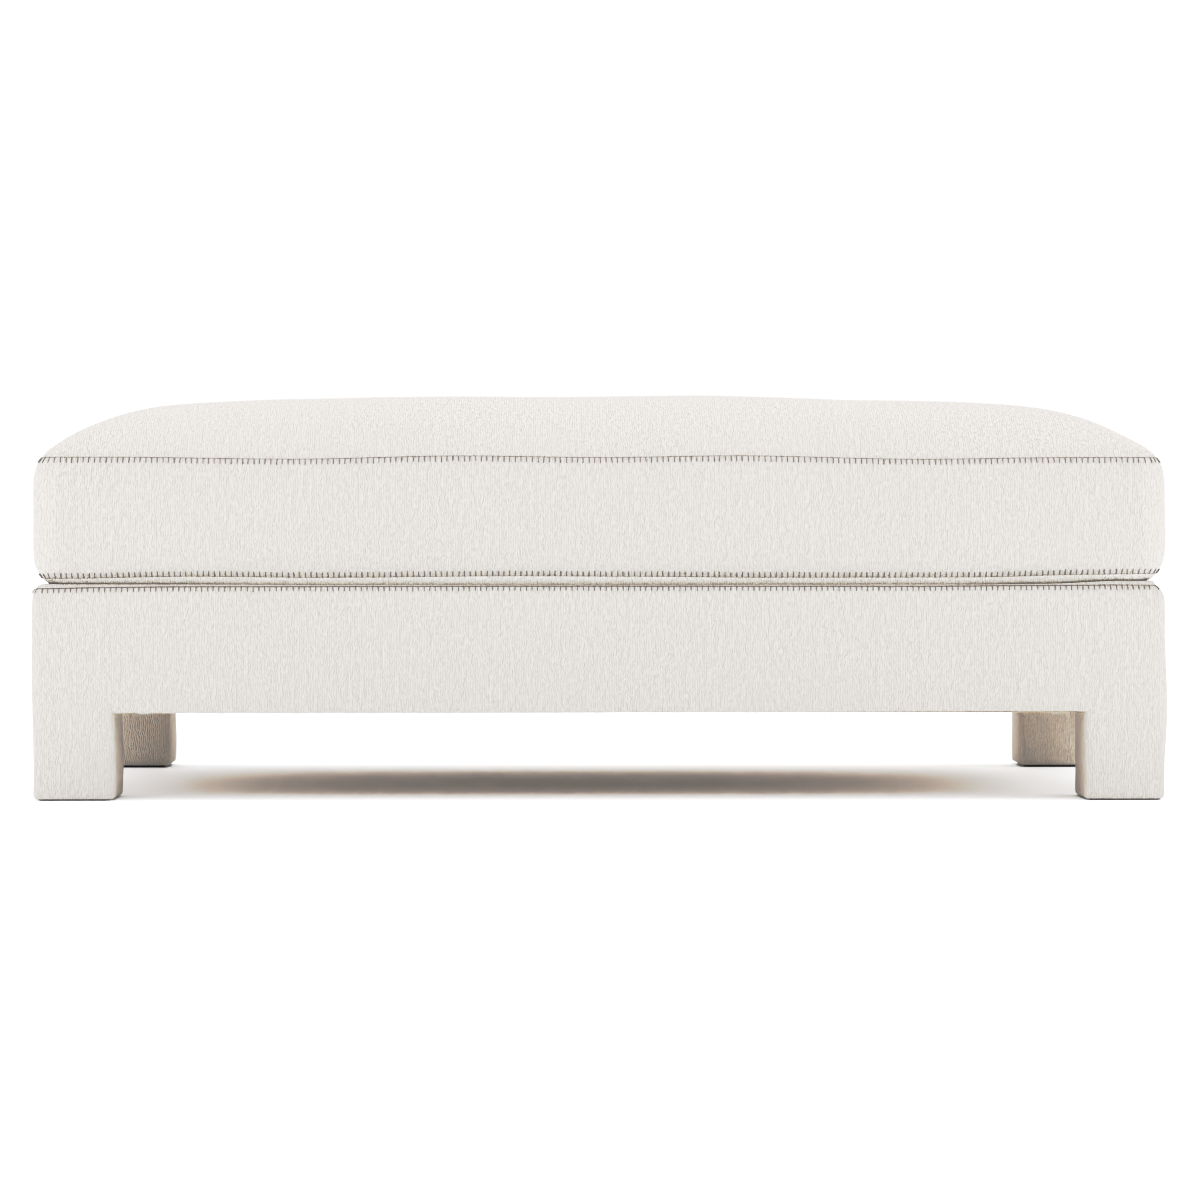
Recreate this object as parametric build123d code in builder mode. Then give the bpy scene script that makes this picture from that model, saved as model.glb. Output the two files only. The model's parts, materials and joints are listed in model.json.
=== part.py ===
from build123d import *
import os

# An upholstered ottoman coffee table with a loose box cushion, in millimetres.
# The origin is on the floor under the middle of the table, with X along its length,
# Y from the front to the back and Z up.

# The base, measured over its cover
length = 1376.0
depth = 762.0
base_top = 260.0
underside = 106.0
leg_width = 99.0
corner_radius = 15.0
leg_edge_radius = 6.0

# Cloth and padding
fabric = 2.0
padding = 10.0
soft_gap = 0.3
thread = 1.4
thread_gap = 0.1
cover_return = 34.0

# Timber frame
frame_top = 238.0
rail_thickness = 28.0
cross_rail_thickness = 22.0
cross_rail_height = 70.0
cross_rail_drop = 18.0
cross_rail_spacing = 460.0
dowel_diameter = 10.0
dowel_length = 60.0
dowel_spacing = 70.0
cross_dowel_spacing = 36.0
glue_gap = 0.1
glue_block_side = 40.0
glue_block_height = 90.0

# Deck
strap_width = 50.0
strap_thickness = 1.5
strap_gap = 0.3
strap_end_margin = 4.0
lengthwise_straps = 4
crosswise_straps = 8
hessian_thickness = 1.0
tack_head_diameter = 7.0
tack_head_thickness = 0.8
tack_shank_diameter = 1.6
tack_shank_length = 12.0
tacks_per_end = 3

# Underneath
dust_cover_thickness = 1.0
dust_cover_margin = 14.0
dust_cover_notch_gap = 1.5
staple_wire = 0.8
staple_crown = 10.0
staple_leg = 8.0
staple_edge = 6.0
staple_pitch = 90.0
glide_side = 86.0
glide_thickness = 3.0
glide_radius = 8.0
screw_diameter = 4.0
screw_head_diameter = 7.4
screw_length = 28.0
screw_gap = 0.15
screw_recess = 0.4
screw_spacing = 44.0

# Cushion, measured along its seams
cushion_length = 1362.0
cushion_depth = 744.0
cushion_corner = 24.0
bottom_seam = 268.7
top_seam = 412.6
side_bulge = 6.0
crown_height = 89.7
shoulder_run = 193.0
shoulder_power = 4.0
dome_power = 2.0
dome_share = 0.44
crown_corner_share = 0.15
crown_corner_limit_share = 0.8
crown_reach_shares = (0.0, 0.03, 0.08, 0.15, 0.25, 0.37, 0.5, 0.63, 0.76)
side_height_shares = (0.0, 0.25, 0.5, 0.75, 1.0)
tuck_run = 18.0
tuck_power = 2.2
tuck_reach_shares = (0.0, 0.16, 0.45, 1.0)
boxing_return = 120.0

# Zip in the back of the cushion
zip_margin = 181.0
zip_slot = 14.0
tape_overlap = 15.0
tape_reach = 17.0
tape_thickness = 0.6
tape_drop = 0.6
coil_margin = 10.0
coil_side = 2.2
coil_gap = 0.8
stop_length = 3.0
stop_height = 7.0
groove_margin = 5.0
groove_depth = 4.4
slider_length = 14.0
slider_width = 9.0
slider_plate = 1.2
slider_clearance = 0.3
slider_web = 0.4
slider_end_gap = 8.0
ear_thickness = 1.1
ear_length = 3.4
ear_rise = 2.9
pull_length = 26.0
pull_width = 8.0
pull_neck = 3.8
pull_thickness = 1.2
pull_root_length = 6.0
pull_eye_diameter = 4.0
pull_corner = 2.0
pin_diameter = 1.4
pin_gap = 0.08

# One overrun for every cut
overrun = 5.0

# Places that follow from those sizes
wall = fabric + padding
post_side = leg_width - 2 * wall
leg_base = glide_thickness
post_base = leg_base + fabric
rail_base = underside + fabric
rail_height = frame_top - rail_base
frame_length = length - 2 * wall
frame_depth = depth - 2 * wall
post_x = (frame_length - post_side) / 2
post_y = (frame_depth - post_side) / 2
bay_length = frame_length - 2 * post_side
bay_depth = frame_depth - 2 * post_side
inner_length = frame_length - 2 * rail_thickness
inner_depth = frame_depth - 2 * rail_thickness
rail_x = (frame_length - rail_thickness) / 2
rail_y = (frame_depth - rail_thickness) / 2
hessian_base = frame_top + 2 * strap_thickness + 2 * strap_gap
deck_pad_base = hessian_base + hessian_thickness
cover_top = base_top - fabric
ledge = thread + 2 * thread_gap
dust_cover_base = underside - dust_cover_thickness
cushion_base = base_top + soft_gap
tuck_height = bottom_seam - cushion_base
dome_run = cushion_depth / 2
boxing_middle = (bottom_seam + top_seam) / 2
back_face = cushion_depth / 2 + side_bulge
back_inside = back_face - fabric
zip_opening = cushion_length - 2 * zip_margin
tape_length = zip_opening + 2 * tape_overlap
coil_length = zip_opening - 2 * coil_margin
tape_front = back_inside - tape_drop
tape_back = tape_front - tape_thickness
coil_y = (tape_front + tape_back) / 2
slider_x = coil_length / 2 - slider_end_gap - slider_length / 2
slider_front = coil_y + coil_side / 2 + slider_clearance
slider_back = coil_y - coil_side / 2 - slider_clearance
ear_top = slider_front + slider_plate + ear_rise
pin_y = ear_top - ear_length / 2

corners = {
    "front_left": (-1, -1),
    "front_right": (1, -1),
    "back_left": (-1, 1),
    "back_right": (1, 1),
}


def leg_body(x_side, y_side, inset, low, high):
    """One leg of the base drawn in by inset, with its outer corner and its foot rounded."""
    side = leg_width - 2 * inset
    middle_x = x_side * (length - leg_width) / 2
    middle_y = y_side * (depth - leg_width) / 2
    with BuildPart() as leg:
        with BuildSketch(Plane.XY.offset(low)) as plan:
            with Locations((middle_x, middle_y)):
                Rectangle(side, side)
            by_distance = plan.vertices().sort_by_distance((0, 0))
            fillet(by_distance[-1], radius=corner_radius - inset)
            by_distance = plan.vertices().sort_by_distance((middle_x, middle_y))
            fillet(by_distance[-3:], radius=leg_edge_radius - inset)
        extrude(amount=high - low)
        fillet(leg.edges().group_by(Axis.Z)[0], radius=leg_edge_radius - inset)
    return leg.part


def base_body(inset):
    """The outer shape of the base, legs and rails in one, drawn in by inset below its top."""
    with BuildPart() as body:
        with BuildSketch(Plane.XY.offset(underside + inset)):
            RectangleRounded(length - 2 * inset, depth - 2 * inset, corner_radius - inset)
        extrude(amount=cover_top - underside - inset)
        for x_side, y_side in corners.values():
            add(leg_body(x_side, y_side, inset, leg_base + inset, cover_top))
    return body.part


def side_region(side):
    """An upright prism over one side of the base, mitred at 45 degrees through the legs."""
    reach = leg_width + overrun
    out_x = length / 2 + overrun
    out_y = depth / 2 + overrun
    in_x = length / 2 - reach
    in_y = depth / 2 - reach
    turn = {"front": (1, -1), "back": (1, 1), "left": (-1, 1), "right": (1, 1)}[side]
    if side in ("front", "back"):
        points = [(-out_x, out_y), (out_x, out_y), (in_x, in_y), (-in_x, in_y)]
    else:
        points = [(out_x, -out_y), (out_x, out_y), (in_x, in_y), (in_x, -in_y)]
    with BuildPart() as region:
        with BuildSketch():
            Polygon([(turn[0] * x, turn[1] * y) for x, y in points], align=None)
        extrude(amount=base_top)
    return region.part


def crown_rise(reach):
    """How high the crown stands above its seam at a reach in from it, as a share of its height.

    A shoulder that levels off soon and a dome that rises to the middle are added.
    """
    shoulder = 1 - max(0, 1 - reach / shoulder_run) ** shoulder_power
    dome = 1 - (1 - reach / dome_run) ** dome_power
    return (1 - dome_share) * shoulder + dome_share * dome


def crown_body(inset):
    """The domed body above the cushion's top seam, drawn in by inset all round."""
    with BuildPart() as body:
        for share in crown_reach_shares:
            reach = share * dome_run
            rise = (crown_height - inset) * crown_rise(reach)
            width = cushion_depth - 2 * (reach + inset)
            corner = cushion_corner + reach * crown_corner_share - inset
            with BuildSketch(Plane.XY.offset(top_seam + rise)):
                RectangleRounded(
                    cushion_length - 2 * (reach + inset),
                    width,
                    min(corner, width / 2 * crown_corner_limit_share),
                )
        loft()
    return body.part


def boxing_body(inset):
    """The cushion between its two seams, bulged between them and drawn in by inset."""
    with BuildPart() as body:
        for share in side_height_shares:
            swell = side_bulge * (1 - (2 * share - 1) ** 2) - inset
            height = bottom_seam + share * (top_seam - bottom_seam)
            with BuildSketch(Plane.XY.offset(height)):
                RectangleRounded(
                    cushion_length + 2 * swell,
                    cushion_depth + 2 * swell,
                    cushion_corner + swell,
                )
        loft()
    return body.part


def tuck_body(inset):
    """The cushion below its bottom seam, curling in to the face that it rests on."""
    with BuildPart() as body:
        for share in tuck_reach_shares:
            reach = inset + share * tuck_run
            fall = (tuck_height - inset) * (1 - (1 - share) ** tuck_power)
            with BuildSketch(Plane.XY.offset(bottom_seam - fall)):
                RectangleRounded(
                    cushion_length - 2 * reach,
                    cushion_depth - 2 * reach,
                    cushion_corner - inset,
                )
        loft()
    return body.part


def thread_ring(ring_length, ring_depth, radius, height):
    """One thread laid once round a rounded rectangle."""
    half_x = ring_length / 2
    half_y = ring_depth / 2
    with BuildPart() as ring:
        with BuildLine(Plane.XY.offset(height)) as path:
            FilletPolyline(
                (half_x, half_y),
                (-half_x, half_y),
                (-half_x, -half_y),
                (half_x, -half_y),
                radius=radius,
                close=True,
            )
        start = path.wires()[0]
        with BuildSketch(Plane(start @ 0, z_dir=start % 0)):
            Circle(thread / 2)
        sweep()
    return ring.part


os.makedirs("parts", exist_ok=True)

# Glides, each held up into its post by two countersunk screws
screw_offsets = ((-screw_spacing / 2, 0), (screw_spacing / 2, 0))
leg_x = (length - leg_width) / 2
leg_y = (depth - leg_width) / 2
screw_places = [
    (x_side * leg_x + x, y_side * leg_y + y)
    for x_side, y_side in corners.values()
    for x, y in screw_offsets
]
head_depth = (screw_head_diameter - screw_diameter) / 2

for corner, (x_side, y_side) in corners.items():
    with BuildPart() as glide:
        with BuildSketch():
            with Locations((x_side * leg_x, y_side * leg_y)):
                RectangleRounded(glide_side, glide_side, glide_radius)
        extrude(amount=glide_thickness)
        fillet(glide.edges().group_by(Axis.Z)[0], radius=glide_thickness / 3)
        with BuildSketch():
            with Locations(*[(x_side * leg_x + x, y_side * leg_y + y) for x, y in screw_offsets]):
                Circle(screw_head_diameter / 2 + screw_gap)
        extrude(amount=screw_recess, mode=Mode.SUBTRACT)
        for x, y in screw_offsets:
            with BuildSketch(Plane.XY.offset(screw_recess)):
                with Locations((x_side * leg_x + x, y_side * leg_y + y)):
                    Circle(screw_head_diameter / 2 + screw_gap)
            with BuildSketch(Plane.XY.offset(screw_recess + head_depth)):
                with Locations((x_side * leg_x + x, y_side * leg_y + y)):
                    Circle(screw_diameter / 2 + screw_gap)
            loft(mode=Mode.SUBTRACT)
            with BuildSketch():
                with Locations((x_side * leg_x + x, y_side * leg_y + y)):
                    Circle(screw_diameter / 2 + screw_gap)
            extrude(amount=glide_thickness, mode=Mode.SUBTRACT)
    glide.part.label = f"glide_{corner}"
    export_step(glide.part, f"parts/{glide.part.label}.step")

with BuildPart() as glide_screws:
    for place in screw_places:
        with BuildSketch(Plane.XY.offset(screw_recess)):
            with Locations(place):
                Circle(screw_head_diameter / 2)
        with BuildSketch(Plane.XY.offset(screw_recess + head_depth)):
            with Locations(place):
                Circle(screw_diameter / 2)
        loft()
    with BuildSketch(Plane.XY.offset(screw_recess + head_depth)):
        with Locations(*screw_places):
            Circle(screw_diameter / 2)
    extrude(amount=screw_length)
glide_screws.part.label = "glide_screws"
export_step(glide_screws.part, "parts/glide_screws.step")

# Leg posts and rails, joined by dowels. Each post is bored for its glide's screws.
dowel_rise = (-dowel_spacing / 2, dowel_spacing / 2)
cross_dowel_rise = (-cross_dowel_spacing / 2, cross_dowel_spacing / 2)
rail_middle = (rail_base + frame_top) / 2
cross_rail_top = frame_top - cross_rail_drop
cross_rail_middle = cross_rail_top - cross_rail_height / 2
cross_rail_x = cross_rail_spacing / 2


def x_rods(diameter, rod_length, places):
    """Round rods along X, centred on the places given."""
    with BuildPart() as rods:
        for x, y, z in places:
            with BuildSketch(Plane.YZ.offset(x)):
                with Locations((y, z)):
                    Circle(diameter / 2)
            extrude(amount=rod_length / 2, both=True)
    return rods.part


def y_rods(diameter, rod_length, places):
    """Round rods along Y, centred on the places given."""
    with BuildPart() as rods:
        for x, y, z in places:
            with BuildSketch(Plane.XZ.offset(-y)):
                with Locations((x, z)):
                    Circle(diameter / 2)
            extrude(amount=rod_length / 2, both=True)
    return rods.part


x_dowels = [
    (x_side * bay_length / 2, y_side * rail_y, rail_middle + rise)
    for x_side, y_side in corners.values()
    for rise in dowel_rise
]
y_dowels = [
    (x_side * rail_x, y_side * bay_depth / 2, rail_middle + rise)
    for x_side, y_side in corners.values()
    for rise in dowel_rise
]
cross_dowels = [
    (x_side * cross_rail_x, y_side * inner_depth / 2, cross_rail_middle + rise)
    for x_side, y_side in corners.values()
    for rise in cross_dowel_rise
]
cross_dowel_length = rail_thickness
bore = dowel_diameter + 2 * glue_gap
x_bores = x_rods(bore, dowel_length + 2 * glue_gap, x_dowels)
y_bores = y_rods(bore, dowel_length + 2 * glue_gap, y_dowels)
cross_bores = y_rods(bore, cross_dowel_length + 2 * glue_gap, cross_dowels)

with BuildPart() as frame_dowels:
    add(x_rods(dowel_diameter, dowel_length, x_dowels))
    add(y_rods(dowel_diameter, dowel_length, y_dowels))
    add(y_rods(dowel_diameter, cross_dowel_length, cross_dowels))
frame_dowels.part.label = "frame_dowels"
export_step(frame_dowels.part, "parts/frame_dowels.step")

screw_tip = screw_recess + head_depth + screw_length
for corner, (x_side, y_side) in corners.items():
    with BuildPart() as post:
        with BuildSketch(Plane.XY.offset(post_base)):
            with Locations((x_side * post_x, y_side * post_y)):
                Rectangle(post_side, post_side)
        extrude(amount=frame_top - post_base)
        with BuildSketch(Plane.XY.offset(post_base)):
            with Locations(*[(x_side * leg_x + x, y_side * leg_y + y) for x, y in screw_offsets]):
                Circle(screw_diameter / 2 + screw_gap)
        extrude(amount=screw_tip - post_base + screw_gap, mode=Mode.SUBTRACT)
        add(x_bores, mode=Mode.SUBTRACT)
        add(y_bores, mode=Mode.SUBTRACT)
    post.part.label = f"leg_post_{corner}"
    export_step(post.part, f"parts/{post.part.label}.step")

for name, y_side in (("front", -1), ("back", 1)):
    with BuildPart() as rail:
        with BuildSketch(Plane.XY.offset(rail_base)):
            with Locations((0, y_side * rail_y)):
                Rectangle(bay_length, rail_thickness)
        extrude(amount=rail_height)
        add(x_bores, mode=Mode.SUBTRACT)
        add(cross_bores, mode=Mode.SUBTRACT)
    rail.part.label = f"rail_{name}"
    export_step(rail.part, f"parts/{rail.part.label}.step")

for name, x_side in (("left", -1), ("right", 1)):
    with BuildPart() as rail:
        with BuildSketch(Plane.XY.offset(rail_base)):
            with Locations((x_side * rail_x, 0)):
                Rectangle(rail_thickness, bay_depth)
        extrude(amount=rail_height)
        add(y_bores, mode=Mode.SUBTRACT)
    rail.part.label = f"rail_{name}"
    export_step(rail.part, f"parts/{rail.part.label}.step")

    with BuildPart() as cross_rail:
        with BuildSketch(Plane.XY.offset(cross_rail_top - cross_rail_height)):
            with Locations((x_side * cross_rail_x, 0)):
                Rectangle(cross_rail_thickness, inner_depth)
        extrude(amount=cross_rail_height)
        add(cross_bores, mode=Mode.SUBTRACT)
    cross_rail.part.label = f"cross_rail_{name}"
    export_step(cross_rail.part, f"parts/{cross_rail.part.label}.step")

# A three-cornered glue block stands in each inside corner between a rail and a post
with BuildPart() as glue_blocks:
    for x_side, y_side in corners.values():
        face_x = x_side * bay_length / 2
        face_y = y_side * inner_depth / 2
        step_x = -x_side * glue_block_side
        step_y = -y_side * glue_block_side
        with BuildSketch(Plane.XY.offset(rail_middle - glue_block_height / 2)):
            Polygon(
                [(face_x, face_y), (face_x + step_x, face_y), (face_x, face_y + step_y)],
                align=None,
            )
        face_x = x_side * inner_length / 2
        face_y = y_side * bay_depth / 2
        with BuildSketch(Plane.XY.offset(rail_middle - glue_block_height / 2)):
            Polygon(
                [(face_x, face_y), (face_x + step_x, face_y), (face_x, face_y + step_y)],
                align=None,
            )
    extrude(amount=glue_block_height)
glue_blocks.part.label = "glue_blocks"
export_step(glue_blocks.part, "parts/glue_blocks.step")

# Webbing: flat straps along the length, and straps woven over and under them across it
strap_y = [
    bay_depth * ((row + 0.5) / lengthwise_straps - 0.5) for row in range(lengthwise_straps)
]
strap_x = [
    bay_length * ((row + 0.5) / crosswise_straps - 0.5) for row in range(crosswise_straps)
]
strap_length = frame_length - 2 * strap_end_margin
strap_depth = frame_depth - 2 * strap_end_margin
weave_step = strap_thickness + strap_gap

with BuildPart() as webbing_lengthwise:
    with BuildSketch(Plane.XY.offset(frame_top)):
        with Locations(*[(0, y) for y in strap_y]):
            Rectangle(strap_length, strap_width)
    extrude(amount=strap_thickness)
webbing_lengthwise.part.label = "webbing_lengthwise"
export_step(webbing_lengthwise.part, "parts/webbing_lengthwise.step")

with BuildPart() as webbing_crosswise:
    for row, x in enumerate(strap_x):
        profile = [(-strap_depth / 2, frame_top)]
        profile.append((-inner_depth / 2, frame_top))
        for column, y in enumerate(strap_y):
            lift = weave_step if (row + column) % 2 else -weave_step
            profile.append((y - strap_width / 2 - strap_gap, frame_top + lift))
            profile.append((y + strap_width / 2 + strap_gap, frame_top + lift))
        profile.append((inner_depth / 2, frame_top))
        profile.append((strap_depth / 2, frame_top))
        upper = [(y, z + strap_thickness) for y, z in reversed(profile)]
        with BuildSketch(Plane.YZ.offset(x)):
            Polygon(profile + upper, align=None)
        extrude(amount=strap_width / 2, both=True)
webbing_crosswise.part.label = "webbing_crosswise"
export_step(webbing_crosswise.part, "parts/webbing_crosswise.step")

tack_steps = [
    strap_width * ((tack + 0.5) / tacks_per_end - 0.5) for tack in range(tacks_per_end)
]
tack_places = [
    (side * rail_x, y + step) for side in (-1, 1) for y in strap_y for step in tack_steps
]
tack_places += [
    (x + step, side * rail_y) for side in (-1, 1) for x in strap_x for step in tack_steps
]
with BuildPart() as webbing_tacks:
    with BuildSketch(Plane.XY.offset(frame_top + strap_thickness)):
        with Locations(*tack_places):
            Circle(tack_head_diameter / 2)
    extrude(amount=tack_head_thickness)
    with BuildSketch(Plane.XY.offset(frame_top + strap_thickness - tack_shank_length)):
        with Locations(*tack_places):
            Circle(tack_shank_diameter / 2)
    extrude(amount=tack_shank_length)
webbing_tacks.part.label = "webbing_tacks"
export_step(webbing_tacks.part, "parts/webbing_tacks.step")

# Deck: hessian, pad and cloth, each lying on the one below
with BuildPart() as hessian:
    with BuildSketch(Plane.XY.offset(hessian_base)):
        Rectangle(frame_length, frame_depth)
    extrude(amount=hessian_thickness)
hessian.part.label = "hessian"
export_step(hessian.part, "parts/hessian.step")

pad_inset = fabric + soft_gap
with BuildPart() as deck_pad:
    with BuildSketch(Plane.XY.offset(deck_pad_base)):
        RectangleRounded(
            length - 2 * pad_inset, depth - 2 * pad_inset, corner_radius - pad_inset
        )
    extrude(amount=cover_top - deck_pad_base)
deck_pad.part.label = "deck_pad"
export_step(deck_pad.part, "parts/deck_pad.step")

with BuildPart() as deck_cloth:
    with BuildSketch(Plane.XY.offset(cover_top)):
        RectangleRounded(length - 2 * ledge, depth - 2 * ledge, corner_radius - ledge)
    extrude(amount=fabric)
deck_cloth.part.label = "deck_cloth"
export_step(deck_cloth.part, "parts/deck_cloth.step")

# Padding: one pad outside each rail, and a sleeve round each leg
with BuildPart() as padding_ring:
    with BuildSketch(Plane.XY.offset(rail_base)):
        RectangleRounded(
            length - 2 * pad_inset, depth - 2 * pad_inset, corner_radius - pad_inset
        )
        Rectangle(frame_length, frame_depth, mode=Mode.SUBTRACT)
    extrude(amount=deck_pad_base - rail_base)

for side in ("front", "back", "left", "right"):
    with BuildPart() as rail_padding:
        add(padding_ring.part)
        add(side_region(side), mode=Mode.INTERSECT)
    rail_padding.part.label = f"rail_padding_{side}"
    export_step(rail_padding.part, f"parts/{rail_padding.part.label}.step")

for corner, (x_side, y_side) in corners.items():
    with BuildPart() as leg_padding:
        add(leg_body(x_side, y_side, pad_inset, post_base, rail_base))
        with BuildSketch(Plane.XY.offset(post_base)):
            with Locations((x_side * post_x, y_side * post_y)):
                Rectangle(post_side, post_side)
        extrude(amount=rail_base - post_base, mode=Mode.SUBTRACT)
    leg_padding.part.label = f"leg_padding_{corner}"
    export_step(leg_padding.part, f"parts/{leg_padding.part.label}.step")

# Base cover: a skin over legs and rails with a hem turned under the rails, cut at the mitres
with BuildPart() as cover:
    add(base_body(0))
    add(base_body(fabric), mode=Mode.SUBTRACT)
    with BuildSketch(Plane.XY.offset(underside)):
        Rectangle(length - 2 * cover_return, depth - 2 * cover_return)
        with Locations(*[(x * leg_x, y * leg_y) for x, y in corners.values()]):
            Rectangle(leg_width, leg_width, mode=Mode.SUBTRACT)
    extrude(amount=fabric, mode=Mode.SUBTRACT)
    with BuildSketch(Plane.XY.offset(leg_base)):
        with Locations(*screw_places):
            Circle(screw_diameter / 2 + screw_gap)
    extrude(amount=fabric, mode=Mode.SUBTRACT)

for side in ("front", "back", "left", "right"):
    with BuildPart() as cover_panel:
        add(cover.part)
        add(side_region(side), mode=Mode.INTERSECT)
    cover_panel.part.label = f"cover_{side}"
    export_step(cover_panel.part, f"parts/{cover_panel.part.label}.step")

base_edge_thread = thread_ring(
    length - ledge,
    depth - ledge,
    corner_radius - ledge / 2,
    cover_top + thread_gap + thread / 2,
)
base_edge_thread.label = "base_edge_thread"
export_step(base_edge_thread, "parts/base_edge_thread.step")

# Dust cover under the rails, notched round the legs and stapled along its edge
notch = leg_width + dust_cover_notch_gap
with BuildPart() as dust_cover:
    with BuildSketch(Plane.XY.offset(dust_cover_base)):
        Rectangle(length - 2 * dust_cover_margin, depth - 2 * dust_cover_margin)
        notch_places = [
            (x * (length - notch) / 2, y * (depth - notch) / 2) for x, y in corners.values()
        ]
        with Locations(*notch_places):
            Rectangle(notch, notch, mode=Mode.SUBTRACT)
    extrude(amount=dust_cover_thickness)
dust_cover.part.label = "dust_cover"
export_step(dust_cover.part, "parts/dust_cover.step")

staple_x = length / 2 - dust_cover_margin - staple_edge
staple_y = depth / 2 - dust_cover_margin - staple_edge
long_count = int(bay_length / staple_pitch)
short_count = int(bay_depth / staple_pitch)
long_places = [
    (bay_length * ((step + 0.5) / long_count - 0.5), side * staple_y)
    for side in (-1, 1)
    for step in range(long_count)
]
short_places = [
    (side * staple_x, bay_depth * ((step + 0.5) / short_count - 0.5))
    for side in (-1, 1)
    for step in range(short_count)
]
prong = (staple_crown - staple_wire) / 2
with BuildPart() as dust_cover_staples:
    with BuildSketch(Plane.XY.offset(dust_cover_base - staple_wire)):
        with Locations(*long_places):
            Rectangle(staple_crown, staple_wire)
        with Locations(*short_places):
            Rectangle(staple_wire, staple_crown)
    extrude(amount=staple_wire)
    with BuildSketch(Plane.XY.offset(dust_cover_base)):
        with Locations(*[(x + side * prong, y) for x, y in long_places for side in (-1, 1)]):
            Rectangle(staple_wire, staple_wire)
        with Locations(*[(x, y + side * prong) for x, y in short_places for side in (-1, 1)]):
            Rectangle(staple_wire, staple_wire)
    extrude(amount=staple_leg)
dust_cover_staples.part.label = "dust_cover_staples"
export_step(dust_cover_staples.part, "parts/dust_cover_staples.step")

# Cushion filling: a foam core between two layers of fibre, grooved behind the zip
with BuildPart() as cushion_core:
    add(boxing_body(pad_inset))
    with BuildSketch(Plane.XZ.offset(groove_depth - back_inside)):
        with Locations((0, boxing_middle)):
            Rectangle(tape_length + 2 * groove_margin, 2 * (tape_reach + groove_margin))
    extrude(amount=-groove_depth - overrun, mode=Mode.SUBTRACT)
cushion_core.part.label = "cushion_core"
export_step(cushion_core.part, "parts/cushion_core.step")

with BuildPart() as cushion_top_wrap:
    add(crown_body(pad_inset))
cushion_top_wrap.part.label = "cushion_top_wrap"
export_step(cushion_top_wrap.part, "parts/cushion_top_wrap.step")

with BuildPart() as cushion_bottom_wrap:
    add(tuck_body(pad_inset))
cushion_bottom_wrap.part.label = "cushion_bottom_wrap"
export_step(cushion_bottom_wrap.part, "parts/cushion_bottom_wrap.step")

# Cushion cover: top panel, bottom panel and the boxing between them
with BuildPart() as cushion_top_panel:
    add(crown_body(0))
    add(crown_body(fabric), mode=Mode.SUBTRACT)
cushion_top_panel.part.label = "cushion_top_panel"
export_step(cushion_top_panel.part, "parts/cushion_top_panel.step")

with BuildPart() as cushion_bottom_panel:
    add(tuck_body(0))
    add(tuck_body(fabric), mode=Mode.SUBTRACT)
cushion_bottom_panel.part.label = "cushion_bottom_panel"
export_step(cushion_bottom_panel.part, "parts/cushion_bottom_panel.step")

with BuildPart() as boxing:
    add(boxing_body(0))
    add(boxing_body(fabric), mode=Mode.SUBTRACT)

seam_y = cushion_depth / 2 - boxing_return
band_width = cushion_length + 2 * side_bulge + 2 * overrun
band_height = top_seam - bottom_seam
with BuildPart() as boxing_front_and_sides:
    add(boxing.part)
    with BuildSketch(Plane.XZ.offset(-seam_y)):
        with Locations((0, boxing_middle)):
            Rectangle(band_width, band_height + 2 * overrun)
    extrude(amount=-boxing_return - side_bulge - overrun, mode=Mode.SUBTRACT)
boxing_front_and_sides.part.label = "boxing_front_and_sides"
export_step(boxing_front_and_sides.part, "parts/boxing_front_and_sides.step")

for name, low in (("lower", bottom_seam), ("upper", boxing_middle)):
    with BuildPart() as boxing_back:
        add(boxing.part)
        with BuildSketch(Plane.XZ.offset(-seam_y)):
            with Locations((0, low)):
                Rectangle(band_width, band_height / 2, align=(Align.CENTER, Align.MIN))
        extrude(amount=-boxing_return - side_bulge - overrun, mode=Mode.INTERSECT)
        with BuildSketch(Plane.XZ.offset(overrun - back_inside)):
            with Locations((0, boxing_middle)):
                Rectangle(zip_opening, zip_slot)
        extrude(amount=-2 * overrun - fabric, mode=Mode.SUBTRACT)
    boxing_back.part.label = f"boxing_back_{name}"
    export_step(boxing_back.part, f"parts/{boxing_back.part.label}.step")

for name, height in (("top", top_seam), ("bottom", bottom_seam)):
    seam_offset = thread / 2 + soft_gap
    seam_thread = thread_ring(
        cushion_length + 2 * seam_offset,
        cushion_depth + 2 * seam_offset,
        cushion_corner + seam_offset,
        height,
    )
    seam_thread.label = f"{name}_seam_thread"
    export_step(seam_thread, f"parts/{seam_thread.label}.step")

# Zip: two tapes behind the slot, a coil along each tape's edge, and a stop at each end
coil_z = (coil_gap + coil_side) / 2
tape_edge = coil_gap / 2 + coil_side
with BuildPart() as zip_tapes:
    with BuildSketch(Plane.XZ.offset(-tape_front)):
        for side in (-1, 1):
            with Locations((0, boxing_middle + side * (tape_edge + tape_reach) / 2)):
                Rectangle(tape_length, tape_reach - tape_edge)
    extrude(amount=tape_thickness)
zip_tapes.part.label = "zip_tapes"
export_step(zip_tapes.part, "parts/zip_tapes.step")

with BuildPart() as zip_coils:
    with BuildSketch(Plane.YZ):
        with Locations((coil_y, boxing_middle - coil_z), (coil_y, boxing_middle + coil_z)):
            RectangleRounded(coil_side, coil_side, coil_side / 4)
    extrude(amount=coil_length / 2, both=True)
zip_coils.part.label = "zip_coils"
export_step(zip_coils.part, "parts/zip_coils.step")

stop_x = (coil_length + stop_length) / 2
with BuildPart() as zip_stops:
    with BuildSketch(Plane.XZ.offset(-tape_front)):
        with Locations((-stop_x, boxing_middle), (stop_x, boxing_middle)):
            Rectangle(stop_length, stop_height)
    extrude(amount=-slider_plate)
zip_stops.part.label = "zip_stops"
export_step(zip_stops.part, "parts/zip_stops.step")

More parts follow.
